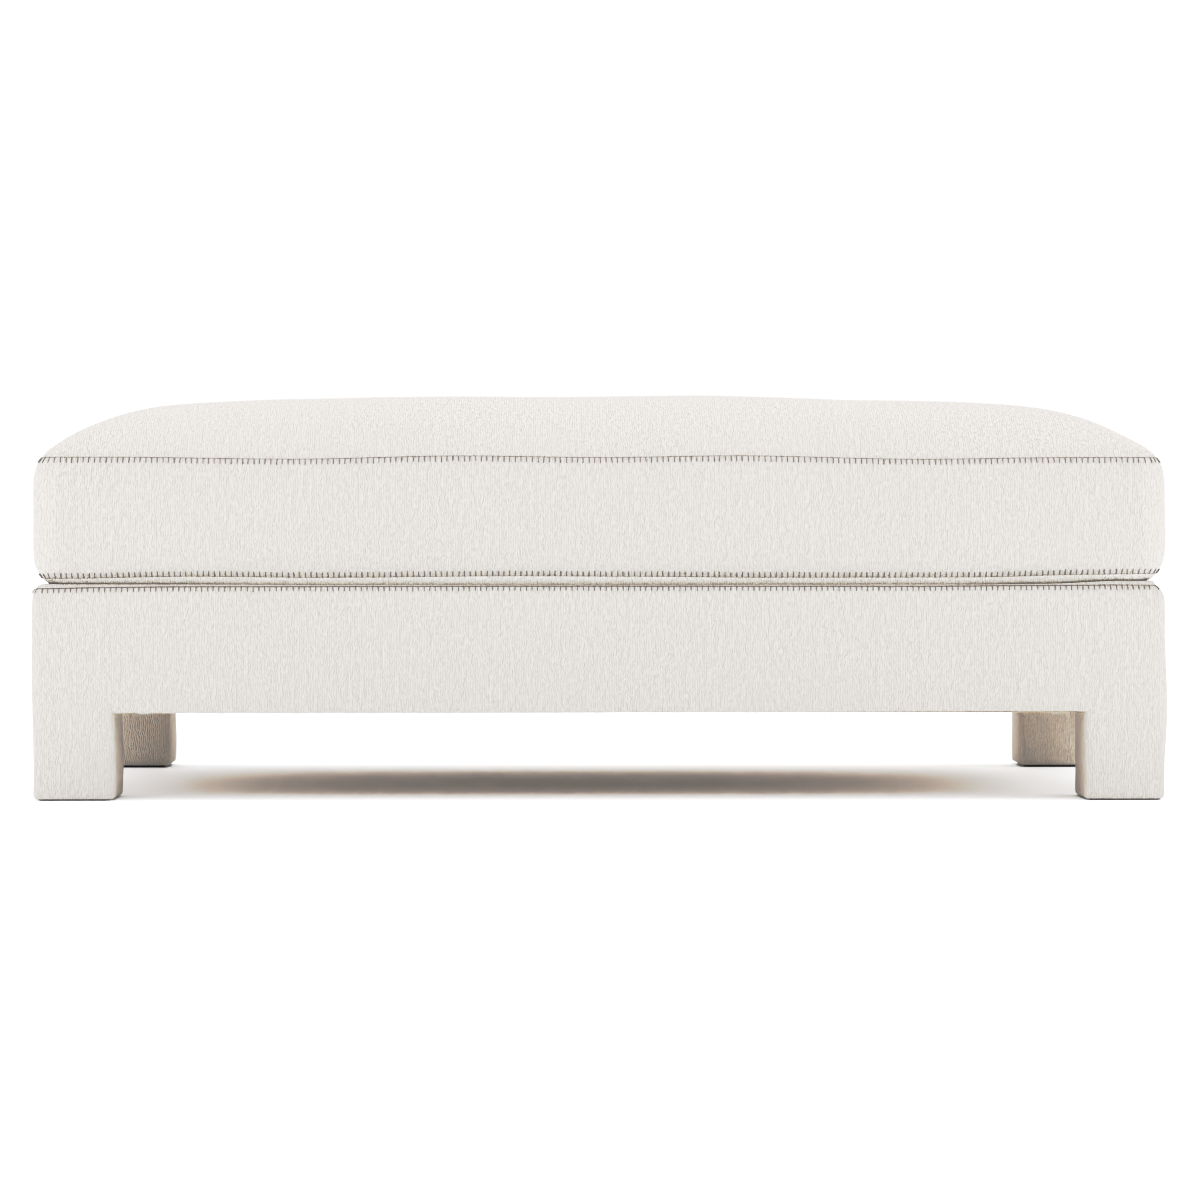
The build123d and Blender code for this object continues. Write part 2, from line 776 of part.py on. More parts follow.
# The slider holds both coils between its plates, and its ears hold the pin of the pull
ear_z = pull_neck / 2 + pin_gap + ear_thickness / 2
with BuildPart() as zip_slider:
    for face in (slider_front + slider_plate, slider_back):
        with BuildSketch(Plane.XZ.offset(-face)):
            with Locations((slider_x, boxing_middle)):
                RectangleRounded(slider_length, slider_width, slider_width / 4)
        extrude(amount=slider_plate)
    with BuildSketch(Plane.XZ.offset(-slider_front)):
        with Locations((slider_x, boxing_middle)):
            Rectangle(slider_length / 2, slider_web)
    extrude(amount=slider_front - slider_back)
    for side in (-1, 1):
        with BuildSketch(Plane.XY.offset(boxing_middle + side * ear_z)):
            with Locations((slider_x, ear_top)):
                Rectangle(ear_length, ear_rise, align=(Align.CENTER, Align.MAX))
            with Locations((slider_x, pin_y)):
                Circle(pin_diameter / 2 + pin_gap, mode=Mode.SUBTRACT)
        extrude(amount=ear_thickness / 2, both=True)
zip_slider.part.label = "zip_slider"
export_step(zip_slider.part, "parts/zip_slider.step")

with BuildPart() as zip_pull:
    with BuildSketch(Plane.XZ.offset(-pin_y)):
        with Locations((slider_x, boxing_middle)):
            Rectangle(pull_length - pull_width, pull_neck, align=(Align.MAX, Align.CENTER))
        with Locations((slider_x - pull_root_length, boxing_middle)):
            Rectangle(
                pull_length - pull_root_length, pull_width, align=(Align.MAX, Align.CENTER)
            )
    extrude(amount=pull_thickness / 2, both=True)
    fillet(
        zip_pull.edges().filter_by(Axis.Y).sort_by(Axis.X)[:2], radius=pull_corner
    )
    with BuildSketch(Plane.XZ.offset(-pin_y)):
        with Locations((slider_x - pull_length + pull_eye_diameter, boxing_middle)):
            Circle(pull_eye_diameter / 2)
    extrude(amount=pull_thickness, both=True, mode=Mode.SUBTRACT)
    with BuildSketch(Plane.XY.offset(boxing_middle)):
        with Locations((slider_x, pin_y)):
            Circle(pin_diameter / 2)
    extrude(amount=ear_z + ear_thickness / 2, both=True)
zip_pull.part.label = "zip_pull"
export_step(zip_pull.part, "parts/zip_pull.step")
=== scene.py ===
import json
import logging
import math
from dataclasses import dataclass, field
from enum import Enum
from typing import Iterable, Sequence

import bmesh
import bpy
import numpy as np
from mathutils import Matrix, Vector
from numpy.typing import NDArray


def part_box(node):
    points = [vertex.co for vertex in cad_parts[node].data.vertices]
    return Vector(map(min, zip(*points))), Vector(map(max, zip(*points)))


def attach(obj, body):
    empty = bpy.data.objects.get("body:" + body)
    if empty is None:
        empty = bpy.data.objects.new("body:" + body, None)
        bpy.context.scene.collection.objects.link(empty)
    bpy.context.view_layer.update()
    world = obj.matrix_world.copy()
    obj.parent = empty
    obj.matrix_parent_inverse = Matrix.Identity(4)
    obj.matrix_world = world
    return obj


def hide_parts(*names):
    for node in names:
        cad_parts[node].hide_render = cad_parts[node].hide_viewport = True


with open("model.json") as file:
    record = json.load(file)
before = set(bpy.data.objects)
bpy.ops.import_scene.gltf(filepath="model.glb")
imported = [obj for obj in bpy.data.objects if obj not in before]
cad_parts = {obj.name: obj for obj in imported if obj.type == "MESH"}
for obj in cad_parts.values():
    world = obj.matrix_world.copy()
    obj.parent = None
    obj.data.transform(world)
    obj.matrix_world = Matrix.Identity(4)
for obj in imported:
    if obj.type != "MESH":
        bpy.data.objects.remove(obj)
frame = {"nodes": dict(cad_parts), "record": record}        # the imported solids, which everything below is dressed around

Array = NDArray[np.float64]
Points = Sequence[tuple[float, float]]
Object = bpy.types.Object
Material = bpy.types.Material
Tree = bpy.types.NodeTree
ShaderNode = bpy.types.Node
Socket = bpy.types.NodeSocket

log = logging.getLogger("ottoman")

CLOTH_MAP = "cloth"
COVER_THICKNESS = 0.002
QUARTER_TURN = np.linspace(0.0, np.pi / 2.0, 5)
"""Angles of the steps in which a rounded edge turns."""


def eased(t: Array) -> Array:
    """Rises from 0 to 1 over t from 0 to 1 as 3t^2 - 2t^3, flat outside it."""
    t = np.clip(t, 0.0, 1.0)
    return t * t * (3.0 - 2.0 * t)


def ramp(values: Array, start: float, end: float) -> Array:
    """Eases from 0 at the start value to 1 at the end value, which may be the lower one."""
    return eased((values - start) / (end - start))


def grid_quads(rows: int, columns: int, flip: bool) -> Array:
    """Numbers a grid's quads: (i, j) with (i, j + 1), (i + 1, j + 1) and (i + 1, j).

    Args:
        rows: number of rows of vertices.
        columns: number of vertices in a row.
        flip: turns the faces over.

    Returns:
        Vertex numbers, four to a row.
    """
    number = np.arange(rows * columns).reshape(rows, columns)
    corner_numbers = [number[:-1, :-1], number[:-1, 1:], number[1:, 1:], number[1:, :-1]]
    quads = np.stack(corner_numbers, axis=-1).reshape(-1, 4)
    return quads[:, ::-1] if flip else quads


def spread(count: int, crowding: float) -> Array:
    """Grid lines from -1 to 1 that crowd towards both ends.

    Line t of an even row from -1 to 1 goes to t + crowding * sin(pi t) / pi.

    Args:
        count: number of steps between the lines.
        crowding: from 0, even, to under 1.

    Returns:
        count + 1 values.
    """
    t = np.linspace(-1.0, 1.0, count + 1)
    return t + crowding * np.sin(np.pi * t) / np.pi


def unit(vectors: Array) -> Array:
    """Vectors along the last axis, each made one long."""
    size = np.linalg.norm(vectors, axis=-1, keepdims=True)
    return vectors / np.maximum(size, 1e-12)


@dataclass(frozen=True)
class Unevenness:
    """The small swells that hands and stuffing leave in upholstery.

    Attributes:
        amplitude: about how far the surface swells, in metres.
        shortest: shortest wave, in metres.
        longest: longest wave, in metres.
        seed: picks one arrangement of the waves.
        count: number of waves added up.
    """

    amplitude: float
    shortest: float
    longest: float
    seed: int
    count: int = 14

    def at(self, points: Array) -> Array:
        """Swell at points: the mean of sine waves that run in random directions, scaled to size.

        Args:
            points: places in metres, along the last axis.

        Returns:
            One distance for each place, in metres.
        """
        rng = np.random.default_rng(self.seed)
        way = unit(rng.normal(size=(self.count, 3)))
        length = np.exp(rng.uniform(math.log(self.shortest), math.log(self.longest), self.count))
        phase = rng.uniform(0.0, 2.0 * np.pi, self.count)
        waves = np.sin(points @ (way / length[:, None]).T * 2.0 * np.pi + phase)
        return self.amplitude * waves.sum(-1) * math.sqrt(2.0 / self.count)


@dataclass(frozen=True)
class Plan:
    """Places on nested rounded rectangles, for a grid laid over a rectangle.

    Attributes:
        x: place along the length.
        y: place along the depth.
        out_x: outward direction's share along the length.
        out_y: outward direction's share along the depth.
        reach: distance in from the outermost rectangle.
    """

    x: Array
    y: Array
    out_x: Array
    out_y: Array
    reach: Array


def nested_plan(
    across: Array, along: Array, half_x: float, half_y: float, corner: float, growth: float
) -> Plan:
    """Lays a grid over a rectangle on rounded rings, so that it has no poles.

    The ring at reach d has half sides half_x - d and half_y - d, and corners of radius
    corner + growth * d. A grid place keeps its share of the way along its ring's side, so
    the grid's four corners come to the middles of the ring's corner arcs.

    Args:
        across: grid values in x, from -half_x to half_x.
        along: grid values in y, from -half_y to half_y.
        half_x: half the length, in metres.
        half_y: half the depth, in metres.
        corner: corner radius of the outermost ring.
        growth: how much the radius grows for each metre of reach.

    Returns:
        The plan, each array with a row for each value of along.
    """
    grid_x, grid_y = np.meshgrid(across, along)
    from_x, from_y = half_x - np.abs(grid_x), half_y - np.abs(grid_y)
    reach = np.clip(np.minimum(from_x, from_y), 0.0, None)
    radius = np.maximum(np.minimum(corner + growth * reach, 0.98 * (half_y - reach)), 1e-6)
    lengthwise = from_y <= from_x
    main_half = np.where(lengthwise, half_x, half_y) - reach
    side_half = np.where(lengthwise, half_y, half_x) - reach
    main, side = np.where(lengthwise, grid_x, grid_y), np.where(lengthwise, grid_y, grid_x)
    straight = main_half - radius
    way = np.abs(main) / np.maximum(main_half, 1e-9) * (straight + radius * np.pi / 4.0)
    turn = np.clip((way - straight) / radius, 0.0, np.pi / 4.0)
    out_main = np.sign(main) * np.sin(turn)
    out_side = np.sign(side) * np.cos(turn)
    main = np.sign(main) * np.where(way < straight, way, straight + radius * np.sin(turn))
    side = np.sign(side) * (side_half - radius * (1.0 - np.cos(turn)))
    return Plan(
        np.where(lengthwise, main, side),
        np.where(lengthwise, side, main),
        np.where(lengthwise, out_main, out_side),
        np.where(lengthwise, out_side, out_main),
        reach,
    )


def rim(grid: Array) -> Array:
    """The outer values of a grid, once round from its front left corner, closed."""
    ring = [grid[0, :], grid[1:, -1], grid[-1, -2::-1], grid[-2::-1, 0]]
    return np.concatenate(ring)


def stacked(x: Array, y: Array, z: Array) -> Array:
    """Points from three arrays that broadcast together."""
    return np.stack(np.broadcast_arrays(x, y, z), axis=-1).astype(float)


def paired(u: Array, v: Array) -> Array:
    """Cloth coordinates from two arrays that broadcast together."""
    return np.stack(np.broadcast_arrays(u, v), axis=-1)


def run_length(points: Array, axis: int) -> Array:
    """Distance travelled over a grid of points, from its first line.

    Args:
        points: the grid, its last axis the coordinates.
        axis: the grid's axis that is followed.

    Returns:
        A distance for each point.
    """
    steps = np.linalg.norm(np.diff(points, axis=axis), axis=-1)
    start = np.zeros_like(np.take(steps, [0], axis=axis))
    return np.concatenate([start, np.cumsum(steps, axis=axis)], axis=axis)


def cloth_lengths(points: Array) -> Array:
    """Cloth coordinates of a panel: distances over it from its middle row and column.

    Args:
        points: the panel's grid.

    Returns:
        Two distances for each point.
    """
    u = run_length(points, 1)
    v = run_length(points, 0)
    u = u - u[:, [u.shape[1] // 2]]
    v = v - v[[v.shape[0] // 2], :]
    return paired(u, v)


@dataclass
class Patchwork:
    """Grids of points gathered into one mesh, welded where they meet.

    Attributes:
        points: vertex places of each grid, one row each.
        faces: quads of each grid, numbered over all the grids.
        cloth: cloth coordinates of each quad's corners.
        size: number of vertices so far.
    """

    points: list[Array] = field(default_factory=list)
    faces: list[Array] = field(default_factory=list)
    cloth: list[Array] = field(default_factory=list)
    size: int = 0

    def add(self, grid: Array, cloth: Array, flip: bool = False) -> None:
        """Adds a grid of quads.

        Args:
            grid: points, with a row and a column axis.
            cloth: cloth coordinates of those points.
            flip: turns the faces over.
        """
        rows, columns = grid.shape[:2]
        quads = grid_quads(rows, columns, flip)
        self.points.append(grid.reshape(-1, 3))
        self.cloth.append(cloth.reshape(-1, 2)[quads].reshape(-1, 2))
        self.faces.append(quads + self.size)
        self.size += rows * columns

    def build(self, name: str, weld: float = 1e-5) -> Object:
        """Makes the object, with smooth faces, sharp borders and a cloth map in metres.

        Args:
            name: the piece's name.
            weld: vertices closer than this become one, in metres.

        Returns:
            The new object, in the scene's collection.
        """
        faces = np.concatenate(self.faces)
        mesh = mesh_of(name, np.concatenate(self.points), faces)
        layer = mesh.uv_layers.new(name=CLOTH_MAP)
        layer.uv.foreach_set("vector", np.concatenate(self.cloth).astype(np.float32).ravel())
        shape = bmesh.new()
        shape.from_mesh(mesh)
        bmesh.ops.remove_doubles(shape, verts=shape.verts, dist=weld)
        bmesh.ops.dissolve_degenerate(shape, edges=shape.edges, dist=weld)
        for edge in shape.edges:
            edge.smooth = not edge.is_boundary
        shape.to_mesh(mesh)
        shape.free()
        smooth(mesh)
        return linked(name, mesh)


def panel(name: str, points: Array, cloth: Array, flip: bool = False) -> Object:
    """Makes a piece of one grid.

    Args:
        name: the piece's name.
        points: points, with a row and a column axis.
        cloth: cloth coordinates of those points.
        flip: turns the faces over.

    Returns:
        The new object, in the scene's collection.
    """
    patchwork = Patchwork()
    patchwork.add(points, cloth, flip)
    return patchwork.build(name)


def mesh_of(name: str, points: Array, quads: Array) -> bpy.types.Mesh:
    """Makes a mesh of quads with foreach_set.

    Args:
        name: the mesh's name.
        points: vertices, one row each.
        quads: vertex numbers, four to a row.

    Returns:
        The mesh.
    """
    mesh = bpy.data.meshes.new(name)
    mesh.vertices.add(len(points))
    mesh.vertices.foreach_set("co", points.astype(np.float32).ravel())
    mesh.loops.add(quads.size)
    mesh.loops.foreach_set("vertex_index", quads.astype(np.int32).ravel())
    mesh.polygons.add(len(quads))
    mesh.polygons.foreach_set("loop_start", np.arange(0, quads.size, 4, dtype=np.int32))
    mesh.polygons.foreach_set("loop_total", np.full(len(quads), 4, dtype=np.int32))
    mesh.update(calc_edges=True)
    return mesh


def smooth(mesh: bpy.types.Mesh) -> None:
    """Shades every face of a mesh smooth."""
    mesh.polygons.foreach_set("use_smooth", np.ones(len(mesh.polygons), dtype=bool))
    mesh.update()


def linked(name: str, mesh: bpy.types.Mesh) -> Object:
    """Makes an object of a mesh and links it to the scene.

    Args:
        name: the object's name.
        mesh: its mesh.

    Returns:
        The object.
    """
    obj = bpy.data.objects.new(name, mesh)
    bpy.context.scene.collection.objects.link(obj)
    return obj


def fine(obj: Object, levels: int) -> None:
    """Rounds a piece with a subdivision surface.

    Args:
        obj: the piece.
        levels: the levels, in views and renders alike.
    """
    modifier = obj.modifiers.new("fine", "SUBSURF")
    modifier.levels = levels
    modifier.render_levels = levels
    modifier.boundary_smooth = "PRESERVE_CORNERS"


def thicken(obj: Object, thickness: float) -> None:
    """Gives a cloth panel its thickness on its inner side.

    Args:
        obj: the panel.
        thickness: its thickness, in metres.
    """
    modifier = obj.modifiers.new("thickness", "SOLIDIFY")
    modifier.thickness = thickness
    modifier.offset = -1.0
    modifier.use_rim = True


def tubes(paths: Array, radius: Array, out: Array, sides: int, closed: bool) -> tuple[Array, Array]:
    """Sweeps a round section along many paths at once.

    At each path point the section lies across the path's direction, one of its axes close
    to the outward direction there: centre + radius * (cos a * out + sin a * side).

    Args:
        paths: points with a path axis and a step axis.
        radius: section radius at each point.
        out: outward direction at each point.
        sides: number of sides of the section.
        closed: joins each path's last point to its first; otherwise its ends are capped
            by rings drawn to a point.

    Returns:
        Vertices, one row each, and quads.
    """
    if closed:
        way = np.roll(paths, -1, axis=1) - np.roll(paths, 1, axis=1)
    else:
        way = np.gradient(paths, axis=1)
        tip = np.zeros_like(radius[:, :1])
        paths = np.concatenate([paths[:, :1], paths, paths[:, -1:]], axis=1)
        way = np.concatenate([way[:, :1], way, way[:, -1:]], axis=1)
        out = np.concatenate([out[:, :1], out, out[:, -1:]], axis=1)
        radius = np.concatenate([tip, radius, tip], axis=1)
    way = unit(way)
    side = unit(np.cross(way, out))
    up = np.cross(side, way)
    angle = np.arange(sides) * 2.0 * np.pi / sides
    ring = np.cos(angle)[:, None] * up[:, :, None, :] + np.sin(angle)[:, None] * side[:, :, None, :]
    points = paths[:, :, None, :] + radius[:, :, None, None] * ring
    count, steps = paths.shape[:2]
    number = np.arange(count * steps * sides).reshape(count, steps, sides)
    ahead = np.roll(number, -1, axis=1) if closed else number[:, 1:]
    here = number if closed else number[:, :-1]
    quads = np.stack(
        [here, np.roll(here, -1, axis=2), np.roll(ahead, -1, axis=2), ahead], axis=-1
    )
    return points.reshape(-1, 3), quads.reshape(-1, 4)


def tube_piece(name: str, parts: Iterable[tuple[Array, Array]]) -> Object:
    """Makes one object of several sweeps, its tips drawn together.

    Args:
        name: the piece's name.
        parts: vertices and quads of each sweep.

    Returns:
        The piece.
    """
    points: list[Array] = []
    quads: list[Array] = []
    size = 0
    for part_points, part_quads in parts:
        points.append(part_points)
        quads.append(part_quads + size)
        size += len(part_points)
    mesh = mesh_of(name, np.concatenate(points), np.concatenate(quads))
    shape = bmesh.new()
    shape.from_mesh(mesh)
    bmesh.ops.remove_doubles(shape, verts=shape.verts, dist=1e-6)
    bmesh.ops.recalc_face_normals(shape, faces=shape.faces)
    shape.to_mesh(mesh)
    shape.free()
    smooth(mesh)
    return linked(name, mesh)


class Coordinates(Enum):
    """What a finish's pattern is laid out on."""

    CLOTH = "cloth map"
    OBJECT = "object"


class NodeDesk:
    """Adds and joins the nodes of one tree."""

    def __init__(self, tree: Tree) -> None:
        """Starts on a material's or a group's node tree and empties it."""
        self.tree = tree
        tree.nodes.clear()

    def node(self, kind: str, **settings: object) -> ShaderNode:
        """Adds a node and sets its properties.

        Args:
            kind: the node's type name.
            settings: property names and values.

        Returns:
            The node.
        """
        made = self.tree.nodes.new(kind)
        for name, value in settings.items():
            setattr(made, name, value)
        return made

    def join(self, source: Socket, target: Socket) -> None:
        """Joins an output to an input."""
        self.tree.links.new(source, target)

    def feed(self, target: Socket, value: object) -> None:
        """Joins a socket to an input, or sets the input to a plain value.

        Args:
            target: the input.
            value: a socket or a plain value.
        """
        if isinstance(value, bpy.types.NodeSocket):
            self.join(value, target)
        else:
            target.default_value = value

    def math(self, operation: str, *values: object, clamp: bool = False) -> Socket:
        """A Math node's result.

        Args:
            operation: what the node does.
            values: its inputs, sockets or numbers.
            clamp: keeps the result from 0 to 1.

        Returns:
            The result's socket.
        """
        made = self.node("ShaderNodeMath", operation=operation, use_clamp=clamp)
        for place, value in enumerate(values):
            self.feed(made.inputs[place], value)
        return made.outputs[0]

    def scaled(self, vector: Socket, scale: tuple[float, float, float]) -> Socket:
        """Multiplies each part of a vector.

        Args:
            vector: the vector's socket.
            scale: a factor for each part.

        Returns:
            The result's socket.
        """
        made = self.node("ShaderNodeVectorMath", operation="MULTIPLY")
        self.join(vector, made.inputs[0])
        made.inputs[1].default_value = scale
        return made.outputs[0]

    def spot(self, across: Socket, along: Socket, scale: tuple[float, float]) -> Socket:
        """Puts two coordinates together to a place.

        Args:
            across: the first coordinate's socket.
            along: the second one's.
            scale: a factor for each.

        Returns:
            A vector socket.
        """
        made = self.node("ShaderNodeCombineXYZ")
        self.join(self.math("MULTIPLY", across, scale[0]), made.inputs[0])
        self.join(self.math("MULTIPLY", along, scale[1]), made.inputs[1])
        return made.outputs[0]

    def noise(self, vector: Socket, scale: float, detail: float, roughness: float = 0.5) -> Socket:
        """Adds a Noise texture.

        Args:
            vector: the socket of the place that it reads.
            scale: its scale.
            detail: its number of finer layers.
            roughness: the weight of those layers.

        Returns:
            The socket of its value, about 0.5 on the whole.
        """
        made = self.node("ShaderNodeTexNoise")
        self.join(vector, made.inputs["Vector"])
        made.inputs["Scale"].default_value = scale
        made.inputs["Detail"].default_value = detail
        made.inputs["Roughness"].default_value = roughness
        return made.outputs["Fac"]

    def remap(self, value: Socket, low: float, high: float, start: float, end: float) -> Socket:
        """Takes a value from one range to another and keeps it inside.

        Args:
            value: the value's socket.
            low: lower end of its range.
            high: upper end.
            start: what the lower end becomes.
            end: what the upper end becomes.

        Returns:
            The result's socket.
        """
        made = self.node("ShaderNodeMapRange", clamp=True)
        self.join(value, made.inputs["Value"])
        ends = {"From Min": low, "From Max": high, "To Min": start, "To Max": end}
        for name, number in ends.items():
            made.inputs[name].default_value = number
        return made.outputs["Result"]

    def mix(self, share: object, first: object, second: object) -> Socket:
        """Mixes two colours.

        Args:
            share: the second one's share, a socket or a number.
            first: a colour or its socket.
            second: the other.

        Returns:
            The mixed colour's socket.
        """
        made = self.node("ShaderNodeMix", data_type="RGBA")
        self.feed(made.inputs[0], share)
        self.feed(made.inputs[6], first)
        self.feed(made.inputs[7], second)
        return made.outputs[2]


def open_group(
    name: str, inputs: Sequence[tuple[str, str, object]], outputs: Sequence[tuple[str, str]]
) -> tuple[NodeDesk, dict[str, Socket], ShaderNode]:
    """Makes an empty node group with named sockets.

    Args:
        name: the group's name.
        inputs: name, socket type and default of each input.
        outputs: name and socket type of each output.

    Returns:
        The group's desk, its inputs by name, and its output node.
    """
    tree = bpy.data.node_groups.new(name, "ShaderNodeTree")
    for label, kind, default in inputs:
        socket = tree.interface.new_socket(name=label, in_out="INPUT", socket_type=kind)
        if default is not None:
            socket.default_value = default
    for label, kind in outputs:
        tree.interface.new_socket(name=label, in_out="OUTPUT", socket_type=kind)
    desk = NodeDesk(tree)
    source = desk.node("NodeGroupInput")
    target = desk.node("NodeGroupOutput")
    return desk, {label: source.outputs[label] for label, _, _ in inputs}, target


def crepe_weave_group() -> Tree:
    """Cloth of fine ribs that wander, run together and break off into slubs.

    A drawn-out noise moves the ribs sideways by up to a few of their widths. A rib's profile
    is |sin(pi t)| over its share t, so ridges are broad and valleys narrow, and a second
    noise sets how deep each stretch of valley is.

    Returns:
        The group, with a height and a mask of the valleys.
    """
    desk, inputs, target = open_group(
        "CrepeWeave",
        [("Vector", "NodeSocketVector", None), ("Rib", "NodeSocketFloat", 0.0028),
         ("Slub", "NodeSocketFloat", 0.008), ("Wander", "NodeSocketFloat", 2.2)],
        [("Height", "NodeSocketFloat"), ("Valleys", "NodeSocketFloat")],
    )
    parts = desk.node("ShaderNodeSeparateXYZ")
    desk.join(inputs["Vector"], parts.inputs[0])
    across = desk.math("DIVIDE", parts.outputs[0], inputs["Rib"])
    along = desk.math("DIVIDE", parts.outputs[1], inputs["Slub"])
    drift = desk.noise(desk.spot(across, along, (0.42, 1.0)), 1.0, 2.0)
    drift = desk.math("MULTIPLY", desk.math("SUBTRACT", drift, 0.5), inputs["Wander"])
    moved = desk.math("ADD", across, drift)
    ridge = desk.math("ABSOLUTE", desk.math("SINE", desk.math("MULTIPLY", moved, math.pi)))
    ridge = desk.math("POWER", ridge, 0.75)
    depth = desk.noise(desk.spot(moved, along, (0.8, 1.6)), 1.0, 1.0)
    depth = desk.remap(depth, 0.32, 0.64, 0.3, 1.0)
    valley = desk.math("MULTIPLY", desk.math("SUBTRACT", 1.0, ridge), depth)
    slubs = desk.noise(desk.spot(moved, along, (1.0, 1.6)), 1.0, 2.0, 0.55)
    height = desk.math("SUBTRACT", desk.math("MULTIPLY", slubs, 0.35), valley)
    desk.join(height, target.inputs["Height"])
    desk.join(valley, target.inputs["Valleys"])
    return desk.tree


def plain_weave_group() -> Tree:
    """Threads that pass over and under each other, a sine each way, chequered.

    Returns:
        The group, with a height and a mask of the gaps between threads.
    """
    desk, inputs, target = open_group(
        "PlainWeave",
        [("Vector", "NodeSocketVector", None), ("Pitch", "NodeSocketFloat", 0.0012)],
        [("Height", "NodeSocketFloat"), ("Gaps", "NodeSocketFloat")],
    )
    parts = desk.node("ShaderNodeSeparateXYZ")
    desk.join(inputs["Vector"], parts.inputs[0])
    turns = [
        desk.math("MULTIPLY", desk.math("DIVIDE", parts.outputs[axis], inputs["Pitch"]), math.pi)
        for axis in (0, 1)
    ]
    first, second = (desk.math("SINE", turn) for turn in turns)
    crossing = desk.math("MULTIPLY", first, second)
    rounded = desk.math(
        "MULTIPLY", desk.math("ABSOLUTE", first), desk.math("ABSOLUTE", second)
    )
    height = desk.math("MULTIPLY_ADD", crossing, 0.35, desk.math("POWER", rounded, 0.5))
    desk.join(height, target.inputs["Height"])
    desk.join(desk.remap(rounded, 0.0, 0.25, 1.0, 0.0), target.inputs["Gaps"])
    return desk.tree


def handling_group() -> Tree:
    """Slow and fine shade changes over a surface, from making and use.

    Returns:
        The group, with two values of about 0.5.
    """
    desk, inputs, target = open_group(
        "Handling",
        [("Vector", "NodeSocketVector", None), ("Slow", "NodeSocketFloat", 6.0),
         ("Fine", "NodeSocketFloat", 420.0)],
        [("Slow", "NodeSocketFloat"), ("Fine", "NodeSocketFloat")],
    )
    for name, detail in (("Slow", 2.0), ("Fine", 1.0)):
        made = desk.node("ShaderNodeTexNoise")
        desk.join(inputs["Vector"], made.inputs["Vector"])
        desk.join(inputs[name], made.inputs["Scale"])
        made.inputs["Detail"].default_value = detail
        desk.join(made.outputs["Fac"], target.inputs[name])
    return desk.tree


def timber_grain_group() -> Tree:
    """Long wood grain: bands bent by noise, with fine dark pores drawn out along them.

    Returns:
        The group, with values for the bands and the pores.
    """
    desk, inputs, target = open_group(
        "TimberGrain",
        [("Vector", "NodeSocketVector", None)],
        [("Grain", "NodeSocketFloat"), ("Pores", "NodeSocketFloat")],
    )
    wave = desk.node("ShaderNodeTexWave", wave_type="BANDS", bands_direction="DIAGONAL")
    desk.join(desk.scaled(inputs["Vector"], (2.0, 9.0, 9.0)), wave.inputs["Vector"])
    wave.inputs["Scale"].default_value = 5.0
    wave.inputs["Distortion"].default_value = 6.0
    wave.inputs["Detail"].default_value = 3.0
    desk.join(wave.outputs["Fac"], target.inputs["Grain"])
    pores = desk.noise(desk.scaled(inputs["Vector"], (40.0, 900.0, 900.0)), 1.0, 2.0)
    desk.join(desk.remap(pores, 0.62, 0.72, 0.0, 1.0), target.inputs["Pores"])
    return desk.tree


@dataclass(frozen=True)
class Finish:
    """What every finish has: a name, a main colour and a roughness.

    Attributes:
        name: the material's name.
        colour: linear red, green and blue.
        roughness: the shader's roughness.
    """

    name: str
    colour: tuple[float, float, float]
    roughness: float

    def shade(self, factor: float) -> tuple[float, float, float, float]:
        """The main colour made lighter or darker, with full alpha."""
        red, green, blue = (min(part * factor, 1.0) for part in self.colour)
        return red, green, blue, 1.0

    def make(self, groups: dict[str, Tree]) -> Material:
        """Makes the material, with its shader and output, and draws the pattern in it.

        Args:
            groups: the shared node groups by name.

        Returns:
            The material.
        """
        material = bpy.data.materials.new(self.name)
        material.use_nodes = True
        material.diffuse_color = self.shade(1.0)
        desk = NodeDesk(material.node_tree)
        shader = desk.node("ShaderNodeBsdfPrincipled")
        shader.inputs["Base Color"].default_value = self.shade(1.0)
        shader.inputs["Roughness"].default_value = self.roughness
        output = desk.node("ShaderNodeOutputMaterial")
        desk.join(shader.outputs[0], output.inputs["Surface"])
        self.draw(desk, shader, groups)
        return material

    def draw(self, desk: NodeDesk, shader: ShaderNode, groups: dict[str, Tree]) -> None:
        """Draws the finish's pattern; a finish without one has its plain colour.

        Args:
            desk: the material's nodes.
            shader: the material's shader.
            groups: the shared node groups by name.
        """

    def place(self, desk: NodeDesk, coordinates: Coordinates) -> Socket:
        """Adds the coordinates that a pattern reads.

        Args:
            desk: the material's nodes.
            coordinates: the cloth map or the object's own.

        Returns:
            A vector socket.
        """
        if coordinates is Coordinates.CLOTH:
            return desk.node("ShaderNodeUVMap", uv_map=CLOTH_MAP).outputs["UV"]
        return desk.node("ShaderNodeTexCoord").outputs["Object"]

    def group(self, desk: NodeDesk, tree: Tree, vector: Socket, **values: float) -> ShaderNode:
        """Places a node group and sets its inputs.

        Args:
            desk: the material's nodes.
            tree: the group.
            vector: what its pattern reads.
            values: other inputs by name.

        Returns:
            The group's node.
        """
        made = desk.node("ShaderNodeGroup", node_tree=tree)
        desk.join(vector, made.inputs["Vector"])
        for name, value in values.items():
            made.inputs[name.capitalize()].default_value = value
        return made

    def relief(self, desk: NodeDesk, shader: ShaderNode, height: Socket, depth: float,
               strength: float = 1.0) -> None:
        """Joins a height to the shader's normal.

        Args:
            desk: the material's nodes.
            shader: the material's shader.
            height: the height, about 0 to 1.
            depth: what a height of 1 is, in metres.
            strength: share of the relief that shows.
        """
        bump = desk.node("ShaderNodeBump")
        bump.inputs["Strength"].default_value = strength
        bump.inputs["Distance"].default_value = depth
        desk.join(height, bump.inputs["Height"])
        desk.join(bump.outputs["Normal"], shader.inputs["Normal"])


